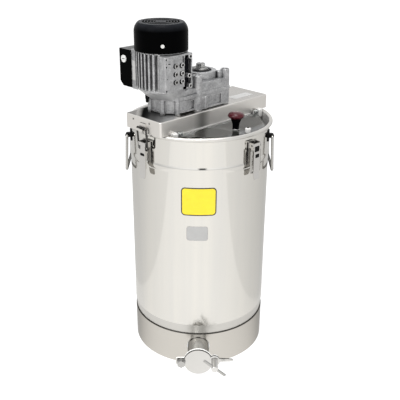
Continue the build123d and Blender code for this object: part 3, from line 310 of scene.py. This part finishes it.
# cut edges painted pale as a highlight on the gate plate, dark as a shadow line on the blade
MAT["gate_plate"] = steel("gate_plate_steel", (0.60, 0.592, 0.575), 0.24, edge=0.5, cut=(0.93, 0.925, 0.91), cut_metal=0.05)
MAT["blade"] = steel("blade_steel", (0.60, 0.592, 0.575), 0.24, edge=0.5, cut=(0.13, 0.128, 0.122))
MAT["nut"] = steel("nut_steel", (0.46, 0.455, 0.445), 0.24, edge=0.2)
MAT["machined"] = steel("machined_aluminium", (0.64, 0.64, 0.64), 0.3, edge=0.6)
# levers and latch bases carry painted shade in their corners and creases
MAT["lever"] = steel("lever_steel", (0.60, 0.59, 0.575), 0.2, edge=0.5, crease_shade_reach=0.005)
MAT["latch"] = steel("latch_steel", (0.60, 0.59, 0.575), 0.22, edge=0.4, crease_shade_reach=0.004)
MAT["handle"] = steel("handle_steel", (0.44, 0.434, 0.42), 0.16, edge=0.04)
MAT["wire"] = steel("wire_steel", (0.21, 0.207, 0.2), 0.16, edge=0.02)
MAT["grey_wire"] = steel("grey_wire_steel", (0.40, 0.392, 0.375), 0.2, edge=0.1)
MAT["bar"] = steel("bar_steel", (0.46, 0.455, 0.44), 0.2, edge=0.05)
MAT["dark_wire"] = steel("dark_wire_steel", (0.07, 0.068, 0.065), 0.26, edge=0.2)
MAT["inner"] = steel("inner_steel", (0.42, 0.41, 0.40), 0.28)
MAT["zinc"] = steel("zinc_steel", (0.70, 0.70, 0.69), 0.26, edge=0.3)
MAT["bolt"] = steel("bolt_steel", (0.40, 0.40, 0.395), 0.3, edge=0.2)
MAT["gear"] = steel("gear_steel", (0.5, 0.5, 0.5), 0.35)

m = Mat("cast_aluminium").set(Metallic=0.85)
big, mid, tiny = m.noise(45.0, 5.0, 0.65), m.noise(260.0, 4.0, 0.6), m.noise(1100.0, 3.0)
tone = m.math("ADD", m.math("MULTIPLY", big, 0.5), m.math("MULTIPLY", mid, 0.5))
soft = m.n("ShaderNodeBevel", samples=4)
soft.inputs["Radius"].default_value = 0.0014
geo = m.n("ShaderNodeNewGeometry")
bent = m.n("ShaderNodeVectorMath", operation="DOT_PRODUCT")
m.link(soft.outputs["Normal"], bent.inputs[0])
m.link(geo.outputs["Normal"], bent.inputs[1])
# bright edges of the casting: edge wear and a painted highlight along its rounded edges
worn_and_brightened = m.math("MULTIPLY", m.range(bent.outputs["Value"], 1.0, 0.0, 0.8, 0.99), m.range(mid, 0.35, 1.0, 0.35, 0.6))
m.color(m.mix(worn_and_brightened, m.ramp(tone, [(0.33, (0.20, 0.202, 0.207)), (0.5, (0.37, 0.372, 0.378)), (0.66, (0.54, 0.542, 0.546))]), (0.80, 0.802, 0.806)))
# painted shade: corners, creases and recesses of the casting darkened
m.color(m.mix(m.painted_crease_shade(0.009, 0.25, 0.8), m.b.inputs["Base Color"].links[0].from_socket, (0.075, 0.076, 0.08)))
# painted light: faces of the casting that look down are lightened, standing for light bounced up onto them
down = m.n("ShaderNodeSeparateXYZ")
m.link(geo.outputs["Normal"], down.inputs[0])
m.color(m.mix(m.range(down.outputs["Z"], 0.75, 0.0, -0.55, -0.1), m.b.inputs["Base Color"].links[0].from_socket, (0.80, 0.802, 0.806)))
m.rough(m.range(mid, 0.36, 0.58, 0.3, 0.7))
n1 = m.bump(mid, 0.25, 0.0006, soft.outputs["Normal"])
m.bump(tiny, 0.3, 0.0003, n1)
MAT["cast"] = m.m

MAT["black"] = plastic("black_plastic", (0.0005, 0.0005, 0.0006), 0.28, spec=0.014, dust_and_sheen=(0.018, 0.0195, 0.023))
MAT["black_box"] = plastic("black_box_plastic", (0.0006, 0.0006, 0.0006), 0.36, spec=0.012, dust_and_sheen=(0.12, 0.12, 0.12))
MAT["black_cover"] = plastic("black_cover", (0.004, 0.004, 0.0042), 0.4, spec=0.1, dust_and_sheen=(0.06, 0.06, 0.06))
# flat black: given to the handle lugs, and used as painted shade and painted dark reflection on the latch sheets, lever
# plates and the plug under the motor flange
MAT["black_lug"] = plastic("flat_black_and_shade", (0.002, 0.002, 0.002), 0.3, spec=0.06)
MAT["black_fine"] = plastic("black_painted_shade", (0.0045, 0.0047, 0.0065), 0.5, spec=0.04)
MAT["knob_black"] = plastic("knob_black", (0.0012, 0.0012, 0.0014), 0.16, spec=0.06)
MAT["knob_red"] = plastic("knob_red", (0.052, 0.0036, 0.008), 0.06, spec=0.36)
MAT["white"] = plastic("white_plastic", (0.62, 0.615, 0.60), 0.34)
MAT["edge_seal"] = plastic("edge_seal", (0.15, 0.148, 0.143), 0.45, strength=0.1)
MAT["edge_bead"] = plastic("edge_bead", (0.48, 0.475, 0.46), 0.4)
MAT["rubber"] = plastic("seal_rubber", (0.55, 0.54, 0.50), 0.6, strength=0.2)
MAT["label_yellow"] = plastic("label_yellow", (0.80, 0.62, 0.02), 0.32, spread=0.04, strength=0.01)
MAT["hole"] = plastic("hole_black", (0.0004, 0.0004, 0.0005), 0.8, spec=0.0)
MAT["label_dark"] = plastic("label_dark", (0.035, 0.032, 0.025), 0.35, strength=0.01)
MAT["label_white"] = plastic("label_white", (0.39, 0.387, 0.38), 0.32, spread=0.03, strength=0.01)
MAT["label_grey"] = plastic("label_grey", (0.36, 0.35, 0.34), 0.35, strength=0.01)
MAT["copper"] = steel("winding_copper", (0.55, 0.26, 0.12), 0.4)

m = Mat("clear_acrylic").set(Transmission_Weight=1.0, IOR=1.25, Metallic=0.0)
smear = m.noise(12.0, 4.0)
m.color(m.mix(m.range(smear, 0, 1, 0.3, 0.7), (0.86, 0.88, 0.88), (0.92, 0.94, 0.94)))
m.rough(m.range(smear, 0.0, 0.02, 0.35, 0.7))
m.bump(m.noise(20.0, 2.0), 0.01, 0.001)
MAT["acrylic"] = m.m

LOOK = {
    "tank_shell": "tank", "outlet_pipe": "pipe", "tank_bottom": "inner", "base_skirt": "skirt", "drive_bridge": "bridge",
    "gate_body": "gate_plate", "gate_blade": "blade", "gate_pivot_bolt": "nut", "gate_clamp_stud": "nut",
    "gate_clamp_washer": "gate_plate", "gate_clamp_nut": "clamp_nut", "gate_tee_bar": "bar", "gate_seal": "rubber",
    "handle_lugs": "black_lug", "handle_left": "handle", "handle_right": "handle",
    "latch_bases": "latch", "latch_pins": "dark_wire", "latch_keepers": "bridge",
    # painted shade: the bails at front left and back right are a dark copy of the grey steel of the other two
    "latch_bail_front_left": "dark_wire", "latch_bail_back_right": "dark_wire",
    "latch_bail_front_right": "grey_wire", "latch_bail_back_left": "grey_wire",
    "output_shaft": "inner", "stirrer_shaft": "inner", "stirrer_blades": "inner",
    "lid_front": "acrylic", "lid_back": "acrylic", "lid_front_bumper": "white", "lid_back_bumper": "white",
    "lid_hinge_brackets": "white", "lid_hinge_clips": "white", "blanking_plug": "white", "lid_hinge_pins": "edge_bead",
    "knob_front_stem": "knob_black", "knob_back_stem": "knob_black", "knob_front_cap": "knob_red", "knob_back_cap": "knob_red",
    "gear_case_lower": "cast", "gear_case_upper": "cast", "motor_frame": "cast",
    "gear_case_bolts": "bolt", "cowl_screws": "zinc", "shaft_bolt": "zinc",
    "fan_cowl": "black", "terminal_box": "black_box", "terminal_box_lid": "black_box", "cable_gland": "black_box", "fan": "black_box",
    "stator_core": "gear", "rotor_core": "gear", "stator_windings": "copper",
    "gear_cluster_a": "gear", "gear_cluster_b": "gear", "rotor_shaft": "gear", "ball_bearings": "gear",
}
for n, o in nodes.items():
    key = LOOK.get(n, "lever" if n.startswith("latch_lever") else "wire")
    o.data.materials.clear()
    o.data.materials.append(MAT[key])


# ---------------------------------------------------------------------------
# pieces made here
# ---------------------------------------------------------------------------
def new_piece(name, verts, faces, mat, body, smooth=False, sharp=35.0):
    me = bpy.data.meshes.new(name)
    me.from_pydata([tuple(v) for v in verts], [], faces)
    bm = bmesh.new()
    bm.from_mesh(me)
    bmesh.ops.recalc_face_normals(bm, faces=bm.faces)
    bm.to_mesh(me)
    bm.free()
    me.validate()
    if smooth:
        me.polygons.foreach_set("use_smooth", [True] * len(me.polygons))
        me.set_sharp_from_angle(angle=math.radians(sharp))
    me.materials.append(MAT[mat])
    ob = bpy.data.objects.new(name, me)
    bpy.context.collection.objects.link(ob)
    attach(ob, body)
    return ob


def lathe(name, profile, centre, axis, mat, body, steps=40, sharp=35.0):
    """Closed turned piece: profile of (radius, along) pairs that starts and ends on the axis."""
    axis = Vector(axis).normalized()
    side = axis.orthogonal().normalized()
    other = axis.cross(side)
    verts, faces, rings = [], [], []
    for r, h in profile:
        base = Vector(centre) + axis * (h / 1000.0)
        if r < 1e-6:
            rings.append([len(verts)])
            verts.append(base)
        else:
            ring = []
            for k in range(steps):
                a = 2 * math.pi * k / steps
                ring.append(len(verts))
                verts.append(base + (side * math.cos(a) + other * math.sin(a)) * (r / 1000.0))
            rings.append(ring)
    for p, q in zip(rings, rings[1:]):
        for k in range(steps):
            j = (k + 1) % steps
            if len(p) == 1 and len(q) == 1:
                continue
            if len(p) == 1:
                faces.append((p[0], q[k], q[j]))
            elif len(q) == 1:
                faces.append((p[k], p[j], q[0]))
            else:
                faces.append((p[k], p[j], q[j], q[k]))
    return new_piece(name, verts, faces, mat, body, smooth=True, sharp=sharp)


def wrapped_label(name, x0, x1, z0, z1, corner, r_in, r_out, mat):
    """Thin rounded sheet wrapped on the front of the shell, closed all round (millimetres)."""
    n = 48
    cols = []
    for k in range(n + 1):
        s = 0.5 - 0.5 * math.cos(math.pi * k / n)
        x = x0 + (x1 - x0) * s
        d = min(x - x0, x1 - x)
        cut = corner - math.sqrt(max(0.0, corner ** 2 - (corner - d) ** 2)) if d < corner else 0.0
        cols.append((x, z0 + cut, z1 - cut))
    verts, faces = [], []
    for x, lo, hi in cols:
        a = x / 160.0
        for r in (r_in, r_out):
            for z in (lo, hi):
                verts.append(Vector((r * math.sin(a), -r * math.cos(a), z)) / 1000.0)
    for k in range(n):
        p, q = 4 * k, 4 * k + 4
        faces += [(p + 2, q + 2, q + 3, p + 3), (p, p + 1, q + 1, q), (p, q, q + 2, p + 2), (p + 1, p + 3, q + 3, q + 1)]
    faces += [(0, 2, 3, 1), (4 * n, 4 * n + 1, 4 * n + 3, 4 * n + 2)]
    return new_piece(name, verts, faces, mat, "tank", smooth=True, sharp=40.0)


wrapped_label("front_label_edge", -40, 38, 392, 458, 9, 160.05, 160.25, "label_dark")
wrapped_label("front_label_face", -37.4, 35.4, 394.6, 455.4, 6.6, 160.1, 160.4, "label_yellow")
wrapped_label("lower_label_edge", -28, 20, 331, 366, 6, 160.05, 160.2, "label_grey")
wrapped_label("lower_label_face", -27, 19, 332, 365, 5, 160.1, 160.32, "label_white")


def plate(name, centre, xdir, normal, w, h, corner, t0, t1, mat, body, soft=0.25):
    """Thin rounded plate, closed all round with an eased upper edge; sizes in millimetres, centre in metres."""
    xdir, normal = Vector(xdir).normalized(), Vector(normal).normalized()
    ydir = normal.cross(xdir)

    def ring(inset, t):
        pts, c = [], max(corner - inset, 0.05)
        for cx, cy, a0 in ((1, 1, 0), (-1, 1, 90), (-1, -1, 180), (1, -1, 270)):
            for k in range(7):
                a = math.radians(a0 + 15 * k)
                px = cx * (w / 2 - inset - c) + c * math.cos(a)
                py = cy * (h / 2 - inset - c) + c * math.sin(a)
                pts.append(Vector(centre) + (xdir * px + ydir * py + normal * t) / 1000.0)
        return pts

    soft = min(soft, (t1 - t0) * 0.6)
    rings = [ring(0, t0), ring(0, t1 - soft), ring(soft, t1)]
    n = 28
    verts = [p for r in rings for p in r]
    faces = [tuple(range(n - 1, -1, -1)), tuple(range(2 * n, 3 * n))]
    for b in (0, n):
        faces += [(b + k, b + (k + 1) % n, b + n + (k + 1) % n, b + n + k) for k in range(n)]
    return new_piece(name, verts, faces, mat, body, smooth=True, sharp=30.0)


# rivets on the ends of the bridge
for k, (u, v) in enumerate(((-170.5, 31.0), (-170.5, -21.0), (170.5, -31.0), (170.5, 21.0))):
    out = Vector((S, S, 0)) * (1 if u > 0 else -1)
    lathe("bridge_rivet_%d" % (k + 1), [(0, -0.2), (2.3, -0.2), (2.2, 0.35), (1.5, 0.9), (0, 1.1)], uvz(u, v, 593.0), out, "wire", "tank", 24)

# silver ring under each knob
for k, v in enumerate((-111.5, 111.5)):
    lathe("knob_ring_%d" % (k + 1), [(0, 0.02), (9.4, 0.02), (9.6, 0.5), (9.2, 1.0), (0, 1.0)], uvz(0, v, 565.5), (0, 0, 1), "lever",
          "front_lid" if v < 0 else "back_lid")

ALONG, ACROSS, UP = Vector((S, S, 0)), Vector((-S, S, 0)), Vector((0, 0, 1))
U_M = -114.675

# plain pale sticker on the bridge and a plain plate on the side of the motor
plate("bridge_sticker", uvz(112.0, -23.0, 602.0), ALONG, UP, 64, 25, 3, 0.02, 0.3, "label_white", "tank")
plate("motor_plate", uvz(U_M - 35.0, 48.5, 691.0), -ACROSS, -ALONG, 10.5, 42, 1.2, 0.02, 0.5, "label_white", "tank")

# painted shade: a black sheet in the recess of the motor pad, and black seats beside its bosses, a little to their
# left, as painted shadows
plate("pad_recess_shade", uvz(U_M + 19.2, -50.5, 697.0), ALONG, -ACROSS, 19.4, 62.4, 1.8, 0.02, 0.6, "black_fine", "tank")
for k, z in enumerate((714.0, 697.3, 680.7)):
    lathe("pad_boss_shadow_%d" % (k + 1), [(0, 0.02), (5.3, 0.02), (5.3, 0.25), (5.0, 0.4), (0, 0.4)], uvz(U_M - 16.4, -60.0, z), -ACROSS, "hole", "tank", 32)
    lathe("pad_boss_shadow_%d" % (k + 4), [(0, 0.02), (5.5, 0.02), (5.5, 0.2), (5.2, 0.3), (0, 0.3)], uvz(U_M + 0.9, -60.0, z - 0.6), -ACROSS, "hole", "tank", 32)
# painted shade: black plugs fill the holes of the motor pad, and black stubs and plates on it stand for the shade in
# its holes and recesses
holes = [(u, z, 7.4) for u in (-14.2, 3.1) for z in (714.0, 697.3, 680.7)]
holes += [(u, z, 6.3) for u, z in ((26.4, 728.5), (23.0, 689.3), (26.4, 667.5))]
for k, (u, z, h) in enumerate(holes):
    lathe("pad_hole_%d" % (k + 1), [(0, 0.02), (2.05, 0.02), (2.05, h + 0.62), (2.85, h + 0.64), (2.85, h + 0.75), (0, h + 0.7)], uvz(U_M + u, -54.0, z), -ACROSS, "hole", "tank", 20)
    lathe("pad_ring_%d" % (k + 1), [(2.9, 0.02), (4.6, 0.02), (4.6, 0.2), (4.3, 0.5), (3.1, 0.5), (2.9, 0.3), (2.9, 0.02)],
          uvz(U_M + u, -62.0 if k < 6 else -60.8, z), -ACROSS, "machined" if k > 2 else "nut", "tank", 28)

for k, (u, z, r) in enumerate(((-40.2, 730.0, 1.85), (-39.8, 715.0, 1.85), (-40.2, 666.0, 1.85), (-40.0, 722.0, 1.15), (-38.0, 690.5, 1.15))):
    lathe("pad_dark_hole_%d" % (k + 1), [(0, 0.02), (r, 0.02), (r, 4.5), (r - 0.4, 4.7), (0, 4.7)], uvz(U_M + u, -55.0, z), -ACROSS, "hole", "tank", 20)
for k, (u, z, w, h, r) in enumerate(((5.7, 725.3, 2.8, 13.4, 0.8), (15.5, 730.0, 9.6, 5.4, 1.2), (10.0, 665.4, 9.0, 5.8, 1.8), (-32.6, 720.6, 6.0, 1.9, 0.8))):
    plate("pad_slot_%d" % (k + 1), uvz(U_M + u, -60.0, z), ALONG, -ACROSS, w, h, r, 0.02, 0.25, "hole", "tank")

# raised panel and corner screws on the cover of the terminal box
plate("box_cover_panel", uvz(U_M, 94.0, 698.0), -ALONG, ACROSS, 58.0, 54.0, 4.0, 0.02, 0.9, "black_cover", "tank", 0.5)
for k, (u, z) in enumerate(((-32.0, 668.5), (32.0, 668.5), (-32.0, 727.5), (32.0, 727.5))):
    lathe("box_cover_screw_%d" % (k + 1), [(0, 0.5), (1.3, 0.5), (1.5, 0.9), (2.6, 0.9), (3.0, 0.5), (3.0, 0.02), (0, 0.02)], uvz(U_M + u, 94.0, z), ACROSS, "bolt", "tank", 24)

# black ring round the shaft on top of the gear case, as painted shade of the gap round it; recessed caps on the front
# posts, each with a black ring as painted shade inside its recess
lathe("shaft_gap_shade", [(18.6, 0.02), (25.5, 0.02), (25.2, 0.7), (19.0, 0.9), (18.6, 0.02)], uvz(0, 0, 678.0), (0, 0, 1), "black_fine", "tank", 64)
for k, (u, v) in enumerate(((-50.0, -42.0), (40.0, -38.0), (-50.0, 42.0), (40.0, 38.0))):
    lathe("post_cap_%d" % (k + 1), [(0, 0.4), (6.4, 0.4), (6.8, 1.2), (7.3, 1.9), (9.0, 1.9), (9.7, 1.2), (9.8, 0.02), (0, 0.02)], uvz(u, v, 679.0), (0, 0, 1), "cast", "tank")
    lathe("post_recess_shade_%d" % (k + 1), [(5.2, 0.45), (6.5, 0.45), (6.6, 1.0), (5.4, 1.0), (5.2, 0.45)], uvz(u, v, 679.0), (0, 0, 1), "black_fine", "tank")

# black plug shaped as a cap nut below the motor flange at the end of the gear case, as painted shade under the flange
lathe("flange_shade_plug", [(0, 0), (2.0, 0.2), (3.1, 1.2), (3.5, 2.4), (3.5, 8.6), (4.3, 9.0), (4.3, 16.8), (0, 16.8)], uvz(-143.5, 15.5, 626.5), (0, 0, 1), "black_lug", "tank", 32)

# pale bead and grey seal on each side of the bridge, beside the straight edge of the lid
def bar(name, prof, u0, u1, sg, mat, body):
    """Straight bar along the bridge with the closed outline prof of (v, z) pairs."""
    n = len(prof)
    verts = [uvz(u, sg * v, z) for u in (u0, u1) for v, z in prof]
    faces = [tuple(range(n)), tuple(range(2 * n - 1, n - 1, -1))]
    faces += [(k, (k + 1) % n, n + (k + 1) % n, n + k) for k in range(n)]
    return new_piece(name, verts, faces, mat, body, smooth=True, sharp=40.0)


for side, sg in (("front", -1.0), ("back", 1.0)):
    bar("lid_edge_bead_" + side, [(56.05, 567.2), (56.5, 567.6), (57.0, 567.5), (57.3, 567.0), (57.3, 565.6), (56.05, 565.6)],
        -111.5, 111.5, sg, "edge_bead", "tank")
    bar("lid_edge_seal_" + side, [(56.05, 565.5), (57.6, 565.5), (61.2, 565.1), (61.6, 564.6), (61.4, 563.9), (56.6, 563.7), (56.05, 564.2)],
        -111.5, 111.5, sg, "edge_seal", "tank")

# latches: a black sheet under each base, as painted shade along the edges of the base, and two black plates near the
# pivot of each lever, as painted dark reflections
for k, (az, side) in enumerate(((225, "front_left"), (315, "front_right"), (45, "back_right"), (135, "back_left"))):
    mid = math.radians(((az + 90 + 180) % 360) - 180) * 160.0
    left_hand = side in ("front_left", "back_right")
    wrapped_label("latch_base_shade_" + side, mid - (11.0 if left_hand else 15.0), mid + 15.0, 502.6, 549.5, 2.0, 160.02, 160.9, "black_lug")
    n = Vector((math.cos(math.radians(az)), math.sin(math.radians(az)), 0))
    t = Vector((-n.y, n.x, 0))
    slots = ((-7.0, 536.0, 3.2, 9.0), (0.5, 520.5, 13.0, 6.0)) if left_hand else ((-0.5, 535.0, 14.5, 12.5), (1.0, 519.0, 12.0, 8.5))
    for j, (dt, z, w, h) in enumerate(slots):
        plate("lever_dark_mark_%s_%d" % (side, j + 1), n * 0.1752 + t * (dt / 1000.0) + Vector((0, 0, z / 1000.0)), t, n, w, h, 1.5, 0.01, 0.35,
              "black_lug", "lever_" + side)

# dark plate on the white plug of the terminal box, as painted shade of its slot; screw in the middle of each white
# bumper
plate("plug_slot", uvz(U_M - 38.3, 78.5, 712.0), ACROSS, -ALONG, 8.6, 1.4, 0.5, 0.02, 0.3, "label_dark", "tank")
for side in ("front", "back"):
    lo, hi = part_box("lid_%s_bumper" % side)
    lathe("bumper_screw_" + side, [(0, 0.02), (2.6, 0.02), (2.6, 0.3), (2.2, 0.7), (0, 0.8)], ((lo[0] + hi[0]) / 2, (lo[1] + hi[1]) / 2, hi[2]), (0, 0, 1), "dark_wire",
          side + "_lid", 24)

# ---------------------------------------------------------------------------
# studio
# ---------------------------------------------------------------------------
def floor_sheet(name, z):
    me = bpy.data.meshes.new(name)
    w = 9.0
    me.from_pydata([(-w, -w, z), (w, -w, z), (w, w, z), (-w, w, z)], [], [(0, 1, 2, 3)])
    ob = bpy.data.objects.new(name, me)
    bpy.context.collection.objects.link(ob)
    return ob


floor = floor_sheet("studio_floor", -0.0005)
m = Mat("studio_floor").set(Roughness=0.8)
m.color(m.mix(m.noise(3.0), (0.43, 0.43, 0.43), (0.47, 0.47, 0.47)))
m.set(Emission_Color=(1, 1, 1, 1), Emission_Strength=0.68)
floor.data.materials.append(m.m)
floor.visible_glossy = False

# the same floor as bright metal sees it: lit from the front left, falling off to the back right
mirror = floor_sheet("studio_floor_sheen", -0.001)
m = bpy.data.materials.new("studio_floor_sheen")
m.use_nodes = True
nt = m.node_tree
nt.nodes.remove(nt.nodes["Principled BSDF"])
tc = nt.nodes.new("ShaderNodeTexCoord")
nv = nt.nodes.new("ShaderNodeVectorMath")
nv.operation = "NORMALIZE"
dt = nt.nodes.new("ShaderNodeVectorMath")
dt.operation = "DOT_PRODUCT"
dt.inputs[1].default_value = (-0.15, -0.989, 0)
mr = nt.nodes.new("ShaderNodeMapRange")
mr.inputs["From Min"].default_value = -1.0
mr.inputs["From Max"].default_value = 1.0
mr.inputs["To Min"].default_value = 0.76
mr.inputs["To Max"].default_value = 1.3
em = nt.nodes.new("ShaderNodeEmission")
nt.links.new(tc.outputs["Object"], nv.inputs[0])
nt.links.new(nv.outputs[0], dt.inputs[0])
nt.links.new(dt.outputs["Value"], mr.inputs["Value"])
# the table under the object widens to the front; beyond its two straight sides the floor is darker
sides = []
for out, far in (((-0.825, 0.565, 0), 0.345), ((0.863, 0.506, 0), 0.278)):
    past = nt.nodes.new("ShaderNodeVectorMath")
    past.operation = "DOT_PRODUCT"
    past.inputs[1].default_value = out
    nt.links.new(tc.outputs["Object"], past.inputs[0])
    step = nt.nodes.new("ShaderNodeMapRange")
    step.inputs["From Min"].default_value = far
    step.inputs["From Max"].default_value = far + 0.02
    nt.links.new(past.outputs["Value"], step.inputs["Value"])
    sides.append(step)
beyond = nt.nodes.new("ShaderNodeMath")
beyond.operation = "MAXIMUM"
nt.links.new(sides[0].outputs["Result"], beyond.inputs[0])
nt.links.new(sides[1].outputs["Result"], beyond.inputs[1])
dim = nt.nodes.new("ShaderNodeMapRange")
dim.inputs["To Min"].default_value = 1.0
dim.inputs["To Max"].default_value = 0.895
nt.links.new(beyond.outputs["Value"], dim.inputs["Value"])
lit = nt.nodes.new("ShaderNodeMath")
lit.operation = "MULTIPLY"
nt.links.new(mr.outputs["Result"], lit.inputs[0])
nt.links.new(dim.outputs["Result"], lit.inputs[1])
nt.links.new(lit.outputs["Value"], em.inputs["Strength"])
em.inputs["Color"].default_value = (1.0, 0.99, 0.972, 1)
nt.links.new(em.outputs[0], nt.nodes["Material Output"].inputs["Surface"])
mirror.data.materials.append(m)
mirror.visible_camera = False
mirror.visible_diffuse = False
mirror.visible_shadow = False

world = bpy.data.worlds.new("studio")
bpy.context.scene.world = world
world.use_nodes = True
wt = world.node_tree
bg = wt.nodes["Background"]
bg.inputs["Strength"].default_value = 1.0
tc = wt.nodes.new("ShaderNodeTexCoord")
sep = wt.nodes.new("ShaderNodeSeparateXYZ")
wt.links.new(tc.outputs["Generated"], sep.inputs[0])
back = wt.nodes.new("ShaderNodeMapRange")
back.inputs["From Min"].default_value = -1.0
back.inputs["From Max"].default_value = 1.0
back.inputs["To Min"].default_value = 0.75
back.inputs["To Max"].default_value = 0.95
wt.links.new(sep.outputs["Y"], back.inputs["Value"])
# broad pale screen low in front of the object
front = wt.nodes.new("ShaderNodeMapRange")
front.inputs["From Min"].default_value = -0.35
front.inputs["From Max"].default_value = -0.9
front.inputs["To Min"].default_value = 0.0
front.inputs["To Max"].default_value = 0.55
wt.links.new(sep.outputs["Y"], front.inputs["Value"])
level = wt.nodes.new("ShaderNodeMapRange")
level.inputs["From Min"].default_value = 0.75
level.inputs["From Max"].default_value = 0.35
wt.links.new(sep.outputs["Z"], level.inputs["Value"])
screen = wt.nodes.new("ShaderNodeMath")
screen.operation = "MULTIPLY_ADD"
wt.links.new(front.outputs["Result"], screen.inputs[0])
wt.links.new(level.outputs["Result"], screen.inputs[1])
wt.links.new(back.outputs["Result"], screen.inputs[2])


def world_range(sock, a, b, lo, hi):
    node = wt.nodes.new("ShaderNodeMapRange")
    node.inputs["From Min"].default_value = a
    node.inputs["From Max"].default_value = b
    node.inputs["To Min"].default_value = lo
    node.inputs["To Max"].default_value = hi
    wt.links.new(sock, node.inputs["Value"])
    return node.outputs["Result"]


def world_math(op, a, b):
    node = wt.nodes.new("ShaderNodeMath")
    node.operation = op
    for sock, val in zip(node.inputs, (a, b)):
        if isinstance(val, (int, float)):
            sock.default_value = val
        else:
            wt.links.new(val, sock)
    return node.outputs[0]


# a dimmer strip along the foot of the screen, and the dark gap between its two halves
strip = world_math("MULTIPLY", world_range(sep.outputs["Z"], 0.16, 0.10, 0.0, 1.0), world_range(sep.outputs["Y"], -0.2, -0.6, 0.0, 0.24))
aside = world_math("ABSOLUTE", world_math("SUBTRACT", sep.outputs["X"], 0.08), 0.0)
gap = world_math("MULTIPLY", world_range(aside, 0.07, 0.13, 1.0, 0.0), world_range(sep.outputs["Y"], -0.6, -0.75, 0.0, 0.9))
gap = world_math("MULTIPLY", gap, world_math("MULTIPLY", world_range(sep.outputs["Z"], 0.0, 0.05, 0.0, 1.0), world_range(sep.outputs["Z"], 0.30, 0.42, 1.0, 0.0)))
dim = world_math("MULTIPLY", world_math("SUBTRACT", 1.0, strip), world_math("SUBTRACT", 1.0, gap))
lp = wt.nodes.new("ShaderNodeLightPath")
mx = wt.nodes.new("ShaderNodeMix")
mx.data_type = "RGBA"
wt.links.new(lp.outputs["Is Camera Ray"], mx.inputs[0])
wt.links.new(world_math("MULTIPLY", screen.outputs[0], dim), mx.inputs[6])
mx.inputs[7].default_value = (1, 1, 1, 1)
wt.links.new(mx.outputs[2], bg.inputs["Color"])


def area(name, loc, target, size, power, color=(1, 1, 1)):
    light = bpy.data.lights.new(name, "AREA")
    light.shape = "RECTANGLE"
    light.size, light.size_y = size
    light.energy = power
    light.color = color
    ob = bpy.data.objects.new(name, light)
    bpy.context.collection.objects.link(ob)
    ob.location = loc
    ob.rotation_euler = (Vector(target) - Vector(loc)).to_track_quat("-Z", "Y").to_euler()
    return ob


area("key", (-1.6, -1.6, 2.4), (0, 0, 0.5), (1.8, 1.8), 26)
area("top", (-0.05, -0.75, 2.4), (-0.05, -0.1, 0.75), (1.0, 0.24), 22)
area("over", (0.05, 0.6, 2.3), (0, 0, 0.65), (0.5, 0.35), 7)
area("right", (2.2, -0.8, 1.4), (0, 0, 0.4), (1.6, 2.2), 10).visible_glossy = False

# ---------------------------------------------------------------------------
# camera, placed as in the photograph
# ---------------------------------------------------------------------------
cam = bpy.data.cameras.new("camera")
cam.sensor_width = 36.0
cam.sensor_fit = "AUTO"
cam.lens = 59.99
cam.clip_end = 50
cam_ob = bpy.data.objects.new("camera", cam)
bpy.context.collection.objects.link(cam_ob)
pitch, roll = math.radians(23.7142), math.radians(0.40015)
fwd = Vector((0, math.cos(pitch), -math.sin(pitch)))
right0, up0 = Vector((1, 0, 0)), Vector((0, math.sin(pitch), math.cos(pitch)))
c, s = math.cos(roll), math.sin(roll)
right, up = c * right0 + s * up0, -s * right0 + c * up0
rot = Matrix((right, up, -fwd)).transposed().to_4x4()
cam_ob.matrix_world = Matrix.Translation((0.0016615, -1.4784, 1.0093)) @ rot
bpy.context.scene.camera = cam_ob
bpy.context.scene.view_settings.view_transform = "Standard"
